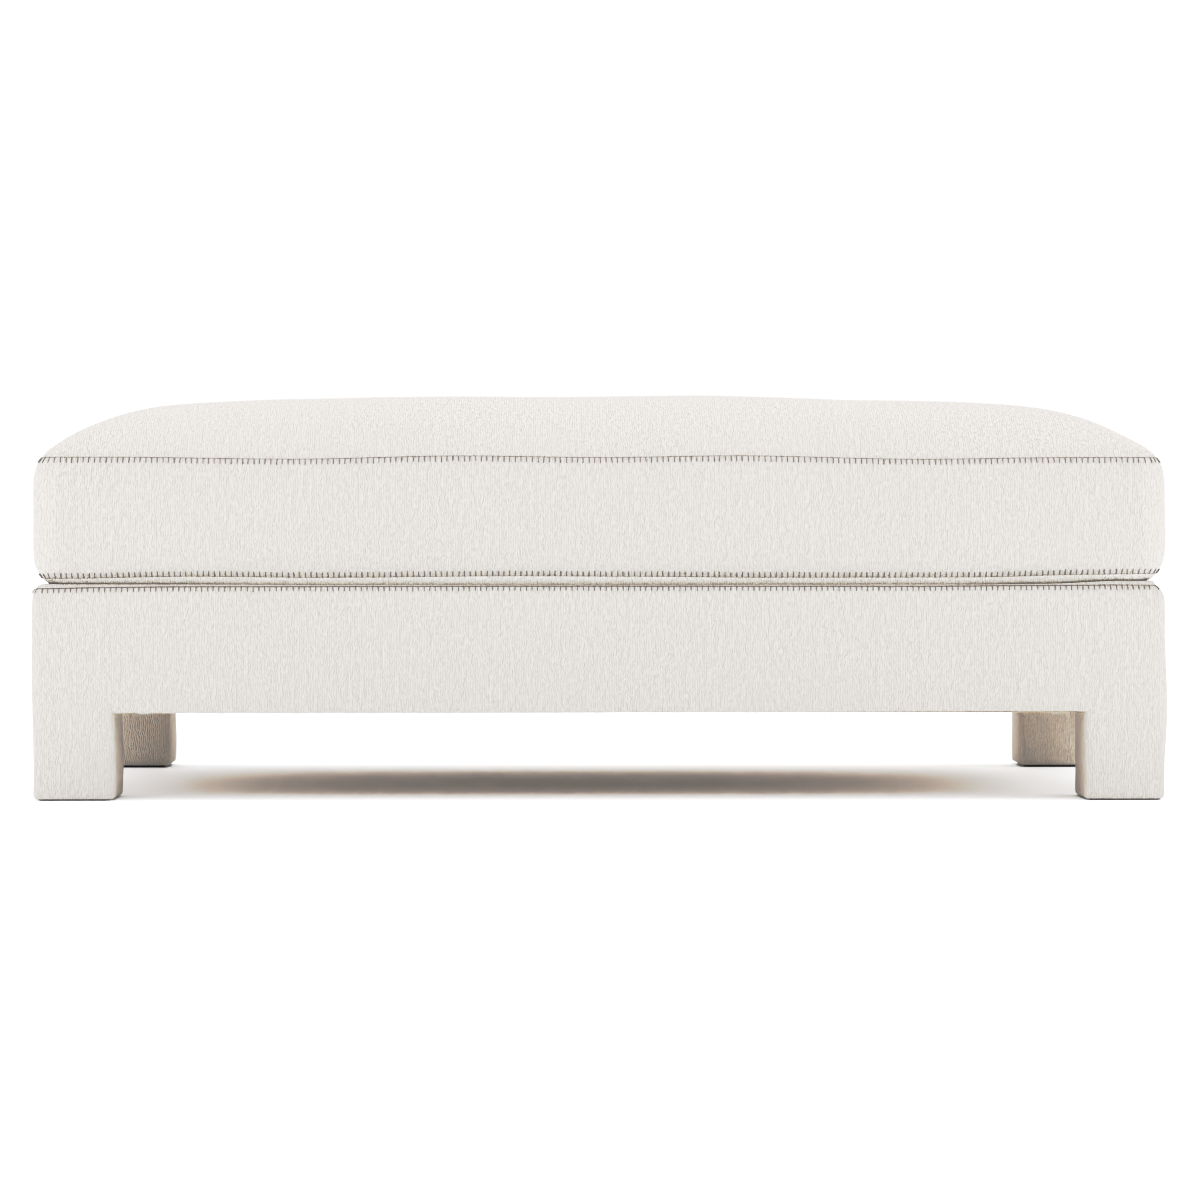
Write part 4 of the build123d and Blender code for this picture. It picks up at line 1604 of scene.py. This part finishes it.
    def back_strips(self, band: Array, cloth: Array) -> None:
        """Makes the back boxing in two strips that part round the zip's slot.

        The rows are laid again from each seam to the middle height. Along the slot the
        middle row stops short of it and a last row turns in, as the pressed edge does.

        Args:
            band: points of the back part of the boxing.
            cloth: their cloth coordinates.
        """
        slot = ramp(np.abs(band[0, :, 0]), self.zip_half + 0.004, self.zip_half - 0.004)
        slot = slot * (band[0, :, 1] > self.half_y - 0.03)
        share = np.linspace(0.0, 1.0, self.strip_rows)[:, None]
        for name, part, side in (("upper", 0, 1.0), ("lower", -1, -1.0)):
            seam = band[part, :, 2]
            edge = self.zip_height + side * self.zip_slot / 2.0 * slot
            heights = seam + (edge - seam) * share
            rows = np.stack([
                np.stack([
                    np.interp(heights[:, column], band[::-1, column, 2], band[::-1, column, axis])
                    for axis in (0, 1)
                ], axis=-1)
                for column in range(band.shape[1])
            ], axis=1)
            grid = np.concatenate([rows, heights[..., None]], axis=-1)
            own_cloth = paired(cloth[0, :, 0], heights)
            turned = grid[-1:].copy()
            turned[..., 1] -= self.zip_hem * slot
            turned[..., 2] += side * self.hem_bend * slot
            grid = np.concatenate([grid, turned])
            own_cloth = np.concatenate([own_cloth, own_cloth[-1:] - np.array([0.0, 0.004])])
            strip = panel(f"cushion_back_strip_{name}", grid, own_cloth, flip=part == 0)
            self.finishes.upholster(strip, "cushion", [f"boxing_back_{name}"], 0.9)

    def stitches(self, band: Array) -> None:
        """Sews both seams, the bars pointing onto the boxing.

        Args:
            band: points of the boxing.
        """
        for stitch, rows, node in (
            (self.top_stitch, band[:5], "top_seam_thread"),
            (self.bottom_stitch, band[:-6:-1], "bottom_seam_thread"),
        ):
            piece = stitch.build(Strip(rows).facing_out(0))
            self.finishes.hand_over(piece, "stitch_thread", "cushion", [node])


class Side(Enum):
    """A side of the base, with the turn from the front to it in quarter turns."""

    FRONT = 0
    RIGHT = 1
    BACK = 2
    LEFT = 3


@dataclass
class Base:
    """The upholstered base: four cloth sides over legs and rails, a deck and a stitched edge.

    Attributes:
        half_x: half the length over the cover, in metres.
        half_y: half the depth over the cover.
        corner: radius of the outer corners.
        edge: radius of the rails' lower edge.
        inner_edge: radius of the legs' inner edges.
        foot_edge: radius by which the cloth turns in under the foot.
        leg: width of a leg.
        corner_steps: grid steps over half an outer corner.
        face_steps: grid steps over the face of a leg beside it.
        top: height of the stitched edge.
        hem: height of the underside of the rails.
        foot: height of the cloth's lowest point, round the front glides.
        seat: height of the cloth over the glides.
        hem_reach: width of the cloth turned in under a rail.
        deck_rest: height of the deck under the cushion.
        deck_inset: how far inside the cover the deck cloth starts.
        deck_drop: how far below the stitched edge it starts.
        lip_reach: width over which it rises to its roll.
        roll_fall: reach over which the roll dies away behind.
        roll_in: how far the sides roll in at the stitched edge.
        roll_down: height of that roll.
        leg_taper: how far the legs draw in outside, and swell inside, at the floor.
        edge_lean: how far the top edge leans in all round.
        right_lean: how much more it leans in at the right front corner.
        left_lean: how much more it leans in at the left end.
        left_swell: how far the left end stands out.
        hem_rise: how much higher the rails' underside is on the right.
        heel_lift: how much higher the cloth of the back feet ends.
        stitch: the stitch of the top edge.
    """

    finishes: Upholstery
    half_x: float = 0.6880
    half_y: float = 0.3815
    corner: float = 0.015
    edge: float = 0.006
    inner_edge: float = 0.009
    foot_edge: float = 0.0050
    leg: float = 0.099
    corner_steps: int = 4
    face_steps: int = 8
    top: float = 0.2590
    hem: float = 0.1058
    foot: float = 0.0013
    seat: float = 0.0031
    hem_reach: float = 0.032
    deck_rest: float = 0.2600
    deck_inset: float = 0.0016
    deck_drop: float = 0.0012
    lip_reach: float = 0.007
    roll_fall: float = 0.008
    roll_in: float = 0.0030
    roll_down: float = 0.0045
    leg_taper: float = 0.0015
    edge_lean: float = 0.0012
    right_lean: float = 0.0085
    left_lean: float = 0.0016
    left_swell: float = 0.0012
    hem_rise: float = 0.0016
    heel_lift: float = 0.0014
    stitch: BlanketStitch = BlanketStitch("base_edge_stitches", 0.0074, 0.0015, 43)

    def __post_init__(self) -> None:
        """Sets out the wander of the stitched edge and the stuffing's swells."""
        self.edge_line = SeamLine(
            self.top,
            ((-0.72, -0.0030), (-0.684, -0.0026), (-0.60, -0.0012), (-0.51, -0.0002),
             (0.0, 0.0005), (0.40, 0.0003), (0.531, 0.0012), (0.631, 0.0018), (0.67, 0.0014),
             (0.72, 0.0010)),
            Unevenness(0.0007, 0.3, 0.9, 51),
        )
        self.swell = Unevenness(0.0008, 0.10, 0.40, 52)
        self.outer_steps = self.corner_steps + self.face_steps
        self.between_legs = slice(self.outer_steps, -self.outer_steps)

    def side_plan(self, side: Side) -> tuple[Array, Array, Array, Array]:
        """Places along one side, from the middle of one corner to the middle of the next.

        Args:
            side: which side.

        Returns:
            Distance along the side, distance in from its face, and the shares of the
            outward direction along the side and square to it.
        """
        half = self.half_x if side in (Side.FRONT, Side.BACK) else self.half_y
        turn = np.linspace(np.pi / 4.0, 0.0, self.corner_steps + 1)
        joint = half - self.leg + self.inner_edge
        flat = np.linspace(half - self.corner, joint, self.face_steps + 1)[1:]
        middle = np.linspace(-joint, joint, max(2, int(round(2 * joint / 0.0125))) + 1)[1:-1]
        arc = half - self.corner + self.corner * np.sin(turn)
        depth = self.corner * (1.0 - np.cos(turn))
        end = np.concatenate([-arc, -flat])
        along = np.concatenate([end, middle, -end[::-1]])
        zeros = np.zeros(len(flat))
        inset = np.concatenate([depth, zeros, np.zeros(len(middle)), zeros, depth[::-1]])
        lean = np.concatenate([np.sin(turn), zeros])
        out_along = np.concatenate([-lean, np.zeros(len(middle)), lean[::-1]])
        return along, inset, out_along, np.sqrt(1.0 - out_along**2)

    def to_world(self, side: Side, along: Array, inset: Array, height: Array) -> Array:
        """Turns places on a side into places in the frame.

        Args:
            side: which side.
            along: distance along the side, to the right as seen from outside.
            inset: distance in from the side's face.
            height: height.

        Returns:
            Points in the frame.
        """
        reach = (self.half_y if side in (Side.FRONT, Side.BACK) else self.half_x) - inset
        x, y = self.turned(side, along, reach)
        return stacked(x, y, height)

    def shaped(self, points: Array, out: Array) -> Array:
        """Moves points of the cover by the stuffing's swells and the lean of the corners.

        The legs draw in a little towards the foot on the outside and swell on the inside,
        the top edge leans in most at the right front corner, the rails' underside rises to
        the right, and the back feet's cloth ends a little higher.

        Args:
            points: places on the plain form.
            out: outward directions there.

        Returns:
            The moved points.
        """
        x, y, z = points[..., 0], points[..., 1], points[..., 2]
        outer = np.sign(out[..., 0] * x + out[..., 1] * y)
        amount = self.swell.at(points) * ramp(z, self.foot, self.foot + 0.03)
        amount = amount - self.leg_taper * ramp(z, 0.11, 0.0) * outer
        right = ramp(x, 0.55, 0.67) * ramp(y, -0.05, -0.30)
        left = ramp(x, -0.60, -0.68)
        lean = self.edge_lean + self.right_lean * right + self.left_lean * left
        amount = amount - lean * np.clip((z - 0.228) / 0.031, 0.0, 1.0) ** 4.0
        amount = amount + self.left_swell * left * np.maximum(outer, 0.0)
        moved = points + out * amount[..., None]
        under_rail = ramp(z, 0.14, 0.11) * ramp(z, 0.095, 0.103)
        rise = self.hem_rise * ramp(x, -0.2, 0.5) * under_rail
        moved[..., 2] += rise + self.heel_lift * ramp(y, -0.1, 0.1) * ramp(z, 0.02, 0.005)
        return moved

    def turned(self, side: Side, along: Array, square: Array) -> tuple[Array, Array]:
        """Turns lengths along a side, to its right, and square to it, outward, into x and y."""
        return {
            Side.FRONT: (along, -square),
            Side.RIGHT: (square, along),
            Side.BACK: (-along, square),
            Side.LEFT: (-square, -along),
        }[side]

    def directions(self, side: Side, along: Array, square: Array, rows: Array) -> Array:
        """Outward directions from their shares along and square to a side, alike in all rows."""
        x, y = self.turned(side, along, square)
        return stacked(x, y, 0.0 * rows)

    def band_rows(self, side: Side) -> Array:
        """The cloth of one side above the hem, from its stitched edge down.

        Near the top the cloth rolls in over the edge by a quarter of an ellipse.

        Args:
            side: which side.

        Returns:
            Points, with a row and a column axis.
        """
        along, inset, lean, square = self.side_plan(side)
        turn = QUARTER_TURN
        falls = np.concatenate([
            self.roll_down * (1.0 - np.cos(turn)),
            self.roll_down + np.cumsum([0.004, 0.006, 0.008, 0.010, 0.012]),
        ])
        rest = np.linspace(self.top - falls[-1], self.hem + self.edge, 9)[1:]
        heights = np.concatenate([self.top - falls, rest])[:, None]
        inward = np.zeros(len(heights))
        inward[:len(turn)] = self.roll_in * (1.0 - np.sin(turn))
        out = self.directions(side, lean, square, heights)
        points = self.to_world(side, along, inset, heights) - out * inward[:, None, None]
        offset = self.edge_line.at(points[..., 0], points[..., 1]) - self.top
        points[..., 2] += offset * ramp(heights, 0.20, self.top)
        return self.shaped(points, out)

    def leg_strip(self, side: Side, end: int) -> tuple[Array, Array]:
        """The cloth of one leg that belongs to one side, from below the rail to the foot.

        It starts at the middle of the outer corner, runs over the leg's face, turns its
        inner edge by a quarter arc and goes in to the middle of the leg's innermost edge.
        Below, it rolls under the foot and closes to the leg's middle.

        Args:
            side: which side.
            end: -1 for the leg at the side's start, 1 for the one at its end.

        Returns:
            The points, and their cloth distances along the strip.
        """
        along, inset, lean, square = self.side_plan(side)
        half = self.half_x if side in (Side.FRONT, Side.BACK) else self.half_y
        outer = np.stack([-along, inset, -lean, square])[:, :self.outer_steps + 1]
        inner = half - self.leg
        radius = self.inner_edge
        turn = QUARTER_TURN[1:]
        edge = np.stack([
            inner + radius - radius * np.sin(turn), radius * (1.0 - np.cos(turn)),
            -np.sin(turn), np.cos(turn),
        ])
        run = np.linspace(radius, self.leg - radius, self.face_steps + 1)[1:]
        face = np.stack([inner + 0.0 * run, run, -1.0 + 0.0 * run, 0.0 * run])
        turn = QUARTER_TURN[1:3]
        last = np.stack([
            inner + radius * (1.0 - np.cos(turn)), self.leg - radius + radius * np.sin(turn),
            -np.cos(turn), -np.sin(turn),
        ])
        main, depth, out_main, out_square = np.concatenate([outer, edge, face, last], axis=1)
        foot = QUARTER_TURN[1:]
        straight = np.linspace(self.hem + self.edge, self.foot + self.foot_edge, 10)
        heights = np.concatenate([straight, self.foot + self.foot_edge * (1.0 - np.sin(foot))])
        pull = np.concatenate([0.0 * straight, self.foot_edge * (1.0 - np.cos(foot))])
        heights, pull = heights[:, None], pull[:, None]
        out = self.directions(side, end * out_main, out_square, heights)
        points = self.to_world(side, end * main, depth, heights) - out * pull[..., None]
        middle = self.to_world(side, end * (half - self.leg / 2.0), self.leg / 2.0, self.seat)
        points = self.shaped(points, out)
        shares = np.array([0.06, 0.4, 0.7, 1.0])[:, None, None]
        closing = points[-1] + (middle - points[-1]) * shares
        closing[..., 2] = self.seat
        points = np.concatenate([points, closing])
        travel = run_length(points[:1], 1)[0]
        travel = travel - travel[self.outer_steps]
        return points, end * travel + end * (half - self.leg + self.edge)

    def hem_rows(self, side: Side) -> Array:
        """The rolled lower edge of a rail and the hem turned in under it.

        Args:
            side: which side.

        Returns:
            Points, with a row and a column axis.
        """
        along, inset, _, _ = self.side_plan(side)
        along, inset = along[self.between_legs], inset[self.between_legs]
        turn = QUARTER_TURN
        low = self.hem + self.edge
        heights = np.concatenate([low - self.edge * np.sin(turn), [self.hem, self.hem]])[:, None]
        inward = np.concatenate([
            self.edge * (1.0 - np.cos(turn)), [self.hem_reach / 2.0, self.hem_reach]
        ])[:, None]
        out = self.directions(side, 0.0 * along, 1.0 + 0.0 * along, heights)
        return self.shaped(self.to_world(side, along, inset + inward, heights), out)

    def side_cover(self, side: Side, nodes: Sequence[str]) -> None:
        """Makes the cloth of one side with its parts of two legs.

        Args:
            side: which side.
            nodes: the CAD nodes that it stands for.
        """
        cover = Patchwork()
        band = self.band_rows(side)
        travel = run_length(band[8:9], 1)[0]
        travel = travel - travel[len(travel) // 2]
        down = run_length(band[:, :1], 0)
        cover.add(band, paired(travel, -down), flip=True)
        bottom = float(down[-1, 0])
        for end in (-1, 1):
            strip, width = self.leg_strip(side, end)
            depth = run_length(strip[:, :1], 0)
            cover.add(strip, paired(width, -bottom - depth), flip=end < 0)
        hem = self.hem_rows(side)
        under = -bottom - run_length(hem[:, :1], 0)
        cover.add(hem, paired(travel[self.between_legs], under), flip=True)
        obj = cover.build(f"base_{side.name.lower()}_cover")
        self.finishes.upholster(obj, "base", nodes, 0.8)

    def edge_rows(self) -> Array:
        """Rows of the cover's top edge once round, closed, for the stitches."""
        sides = (Side.FRONT, Side.RIGHT, Side.BACK, Side.LEFT)
        rows = [self.band_rows(side)[:8, :-1] for side in sides]
        return np.concatenate(rows + [rows[0][:, :1]], axis=1)

    def deck(self) -> None:
        """Makes the deck cloth, with a roll just inside its stitched edge.

        The roll reaches up to the crevice under the cushion and dies away behind it as
        exp(-(d / roll_fall)^2).
        """
        half_x, half_y = self.half_x - self.deck_inset, self.half_y - self.deck_inset
        plan = nested_plan(
            spread(72, 0.8) * half_x, spread(44, 0.8) * half_y, half_x, half_y,
            self.corner - self.deck_inset, 0.1,
        )
        points = stacked(plan.x, plan.y, 0.0 * plan.x)
        out = stacked(plan.out_x, plan.out_y, 0.0 * plan.x)
        edge = self.edge_line.at(plan.x, plan.y)
        points[..., 2] = edge
        points = self.shaped(points, out * np.exp(-plan.reach / 0.02)[..., None])
        lip = 1.0 - np.clip(1.0 - plan.reach / self.lip_reach, 0.0, 1.0) ** 2
        roll = CREVICE.at(plan.x, plan.y) - self.deck_rest
        behind = np.clip(plan.reach - self.lip_reach, 0.0, None)
        level = self.deck_rest + roll * np.exp(-(behind / self.roll_fall) ** 2)
        points[..., 2] = (edge - self.deck_drop) * (1.0 - lip) + level * lip
        obj = panel("base_deck_cover", points, cloth_lengths(points))
        self.finishes.upholster(obj, "base", ["deck_cloth", "deck_pad"], 0.7)

    def stitches(self) -> None:
        """Sews the top edge, the bars pointing down onto the sides."""
        piece = self.stitch.build(Strip(self.edge_rows()).facing_out(3))
        self.finishes.hand_over(piece, "stitch_thread", "base", ["base_edge_thread"])

    def build(self) -> None:
        """Makes the four sides, the deck and the stitched edge."""
        legs = {
            Side.FRONT: [], Side.BACK: [],
            Side.LEFT: ["leg_padding_front_left", "leg_padding_back_left"],
            Side.RIGHT: ["leg_padding_front_right", "leg_padding_back_right"],
        }
        for side in Side:
            name = side.name.lower()
            self.side_cover(side, [f"cover_{name}", f"rail_padding_{name}", *legs[side]])
        self.deck()
        self.stitches()


@dataclass
class Zip:
    """The zip in the back of the cushion: two rows of teeth beside the CAD tapes and slider.

    Attributes:
        pitch: distance from tooth to tooth, in metres.
        wire: diameter of the coil's wire.
        reach: how far a tooth reaches from the middle of its row.
        row: distance of a row from the zip's middle.
        bend: how far a tooth bends out.
    """

    finishes: Upholstery
    pitch: float = 0.0015
    wire: float = 0.0009
    reach: float = 0.0009
    row: float = 0.0015
    bend: float = 0.0003

    def build(self) -> None:
        """Makes each tooth as a short bent loop of wire, the two rows half a pitch apart."""
        low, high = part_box("zip_coils")
        y = (low.y + high.y) / 2.0
        middle = (low.z + high.z) / 2.0
        count = int((high.x - low.x) / self.pitch)
        parts = []
        for side in (-1.0, 1.0):
            x = low.x + self.pitch * (np.arange(count) + 0.5 + 0.25 * side)
            z = middle + side * self.row
            step = np.linspace(-1.0, 1.0, 4)
            paths = stacked(
                x[:, None],
                y + self.bend * np.cos(step * np.pi / 2.0),
                z + side * self.reach * step,
            )
            out = np.zeros_like(paths)
            out[..., 1] = 1.0
            parts.append(tubes(paths, np.full(paths.shape[:2], self.wire / 2.0), out, 4, False))
        piece = tube_piece("zip_teeth", parts)
        self.finishes.hand_over(piece, "zip_coil_nylon", "cushion", ["zip_coils"])


@dataclass
class DustCover:
    """The thin lining under the rails, stretched between its staples.

    Attributes:
        sag: how far it hangs in the middle, in metres.
        leg: side of the square cut out at each corner, for the leg.
        cloth: thickness of the cloth.
    """

    finishes: Upholstery
    sag: float = 0.0022
    leg: float = 0.0865
    cloth: float = 0.0006

    def lines(self, low: float, high: float, steps: int) -> Array:
        """Grid lines from edge to edge: four steps by each leg, and the given number between."""
        return np.concatenate([
            np.linspace(low, low + self.leg, 5)[:-1],
            np.linspace(low + self.leg, high - self.leg, steps + 1),
            np.linspace(high - self.leg, high, 5)[1:],
        ])

    def build(self) -> None:
        """Makes the lining: flat at its edge and hanging by sag * (sin(pi s) sin(pi t))^0.7."""
        low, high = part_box("dust_cover")
        x = self.lines(low.x, high.x, 60)
        y = self.lines(low.y, high.y, 30)
        cover = Patchwork()
        for part_x, part_y in ((x[:5], y[4:-4]), (x[4:-4], y), (x[-5:], y[4:-4])):
            grid_x, grid_y = np.meshgrid(part_x, part_y)
            share_x = (grid_x - low.x) / (high.x - low.x)
            share_y = (grid_y - low.y) / (high.y - low.y)
            hang = self.sag * np.sin(np.pi * share_x) ** 0.7 * np.sin(np.pi * share_y) ** 0.7
            points = stacked(grid_x, grid_y, high.z - hang)
            cover.add(points, paired(grid_x, grid_y), flip=True)
        obj = cover.build("dust_cover_lining")
        thicken(obj, self.cloth)
        self.finishes.hand_over(obj, "dust_cover_cloth", "base", ["dust_cover"])


@dataclass
class Frame:
    """The CAD nodes that stay as they are and get a finish."""

    finishes: Upholstery

    def build(self) -> None:
        """Dresses every CAD node that still shows with its record's slot."""
        record = frame["record"]
        slots = {part["node"]: part["material_slot"] for part in record["subparts"]}
        for name, obj in sorted(frame["nodes"].items()):
            if not obj.hide_render:
                self.finishes.dress(obj, slots[name])
                log.info("%s keeps its form, in %s", name, slots[name])


@dataclass(frozen=True)
class Lamp:
    """A soft light from far away that falls on some pieces only.

    Attributes:
        name: the light's name.
        towards: the direction that it shines in.
        strength: its irradiance, in watts per square metre.
        width: its width as seen from the table, in degrees.
        lit: the pieces that it falls on.
        colour: its colour, a little cool, against the warm light off the cloth.
    """

    name: str
    towards: tuple[float, float, float]
    strength: float
    width: float
    lit: tuple[str, ...]
    colour: tuple[float, float, float] = (0.96, 1.0, 1.03)

    def build(self) -> None:
        """Sets up the lamp and gathers the pieces that it lights."""
        data = bpy.data.lights.new(self.name, "SUN")
        data.energy = self.strength
        data.color = self.colour
        data.angle = math.radians(self.width)
        obj = bpy.data.objects.new(self.name, data)
        bpy.context.scene.collection.objects.link(obj)
        obj.rotation_euler = Vector(self.towards).to_track_quat("-Z", "Y").to_euler()
        pieces = bpy.data.collections.new(f"{self.name}_lit")
        for name in self.lit:
            pieces.objects.link(bpy.data.objects[name])
        obj.light_linking.receiver_collection = pieces


@dataclass(frozen=True)
class Studio:
    """Floor, light and camera.

    Attributes:
        eye: the camera's place, in metres.
        pitch: how far it looks down, in degrees.
        yaw: how far it looks right, in degrees.
        focal: focal length in pixels of the picture.
        pixels: width of the picture in pixels.
        sensor: width of the camera's sensor, in millimetres.
        floor_half: half the width of the floor, in metres.
        floor_shade: how much light the floor gives back.
        wall: brightness of the surround low down, behind the table.
        dim: its brightness elsewhere below the ceiling.
        ceiling: its brightness overhead.
        white: scene brightness that the picture shows as white.
        wall_top: sines of height between which the wall fades out.
        wall_sides: places from the camera's side, -1, to behind the table, 1, between which
            it comes up.
        ceiling_edge: sines of height between which the ceiling comes up.
        tones: the camera's tone curve, from share of that brightness to share of white.
        lamps: soft lamps that light the floor more than the table, as a lit studio table
            does, and the curl under the cushion.
    """

    eye: tuple[float, float, float] = (-0.0500, -5.015, 0.323)
    pitch: float = 0.987
    yaw: float = 0.613
    focal: float = 3830.0
    pixels: float = 1200.0
    sensor: float = 36.0
    floor_half: float = 30.0
    floor_shade: float = 0.78
    wall: float = 2.2
    dim: float = 0.71
    ceiling: float = 4.30
    white: float = 2.15
    wall_top: tuple[float, float] = (0.15, 0.22)
    wall_sides: tuple[float, float] = (-0.1, 0.5)
    ceiling_edge: tuple[float, float] = (0.45, 0.60)
    tones: Points = (
        (0.0, 0.0), (0.1, 0.075), (0.15, 0.125), (0.235, 0.215), (0.30, 0.335), (0.40, 0.575),
        (0.62, 0.785), (0.8, 0.905), (0.98, 1.0),
    )
    lamps: tuple[Lamp, ...] = (
        Lamp("floor_front", (0.0, 1.0, -0.60), 2.3, 60.0, ("studio_floor",)),
        Lamp("floor_back", (0.0, -1.0, -0.52), 5.6, 40.0, ("studio_floor",)),
        Lamp("floor_left", (1.0, 0.0, -0.36), 4.1, 40.0, ("studio_floor",)),
        Lamp("floor_right", (-1.0, 0.0, -0.40), 6.2, 40.0, ("studio_floor",)),
        Lamp("curl_front", (0.0, 1.0, -0.06), 4.0, 12.0, ("cushion_underside",)),
    )

    def floor(self) -> None:
        """Lays a wide pale floor."""
        half = self.floor_half
        points = np.array([[-half, -half, 0], [half, -half, 0], [half, half, 0], [-half, half, 0]])
        obj = linked("studio_floor", mesh_of("studio_floor", points, np.array([[0, 1, 2, 3]])))
        material = bpy.data.materials.new("studio_floor")
        material.use_nodes = True
        desk = NodeDesk(material.node_tree)
        shader = desk.node("ShaderNodeBsdfDiffuse")
        shader.inputs["Color"].default_value = (*(self.floor_shade,) * 3, 1.0)
        output = desk.node("ShaderNodeOutputMaterial")
        desk.join(shader.outputs[0], output.inputs["Surface"])
        obj.data.materials.append(material)

    def surround(self) -> None:
        """Lights the scene from a white wall behind the table and a brighter soft ceiling.

        The wall stands low behind the table and fades towards the camera's side. Above it
        the surround is dim, and higher still it rises to the ceiling.
        """
        world = bpy.data.worlds.new("studio")
        world.use_nodes = True
        desk = NodeDesk(world.node_tree)
        parts = desk.node("ShaderNodeSeparateXYZ")
        desk.join(desk.node("ShaderNodeTexCoord").outputs["Generated"], parts.inputs[0])
        height = parts.outputs[2]
        low = desk.remap(height, *self.wall_top, self.wall - self.dim, 0.0)
        behind = desk.remap(parts.outputs[1], *self.wall_sides, 0.0, 1.0)
        rise = desk.remap(height, *self.ceiling_edge, self.dim, self.ceiling)
        strength = desk.math("MULTIPLY_ADD", low, behind, rise)
        background = desk.node("ShaderNodeBackground")
        background.inputs["Color"].default_value = (1.0, 1.0, 1.03, 1.0)
        desk.join(strength, background.inputs["Strength"])
        output = desk.node("ShaderNodeOutputWorld")
        desk.join(background.outputs[0], output.inputs["Surface"])
        bpy.context.scene.world = world

    def camera(self) -> None:
        """Sets the camera at the photograph's viewing angle."""
        data = bpy.data.cameras.new("camera")
        data.sensor_fit = "HORIZONTAL"
        data.sensor_width = self.sensor
        data.lens = self.focal / self.pixels * self.sensor
        data.clip_end = 200.0
        obj = bpy.data.objects.new("camera", data)
        bpy.context.scene.collection.objects.link(obj)
        obj.location = self.eye
        obj.rotation_euler = (
            math.radians(90.0 - self.pitch), 0.0, math.radians(-self.yaw)
        )
        bpy.context.scene.camera = obj
        self.picture()

    def picture(self) -> None:
        """Sets the picture's tones, with a soft shoulder below white."""
        settings = bpy.context.scene.view_settings
        settings.view_transform = "Standard"
        settings.use_curve_mapping = True
        mapping = settings.curve_mapping
        mapping.white_level = (self.white,) * 3
        curve = mapping.curves[3]
        for place, (brightness, shown) in enumerate(self.tones):
            if place in (0, len(self.tones) - 1):
                curve.points[-1 if place else 0].location = (brightness, shown)
            else:
                curve.points.new(brightness, shown)
        mapping.update()

    def build(self) -> None:
        """Sets up the whole studio, once the table's pieces are made."""
        self.camera()
        self.floor()
        self.surround()
        for lamp in self.lamps:
            lamp.build()


def main() -> None:
    """Builds the table's pieces in order."""
    logging.basicConfig(level=logging.INFO, format="%(name)s: %(message)s")
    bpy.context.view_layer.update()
    finishes = Upholstery.make()
    Cushion(finishes).build()
    Base(finishes).build()
    Zip(finishes).build()
    DustCover(finishes).build()
    Frame(finishes).build()
    Studio().build()
    bpy.context.view_layer.update()


if __name__ == "__main__":
    main()
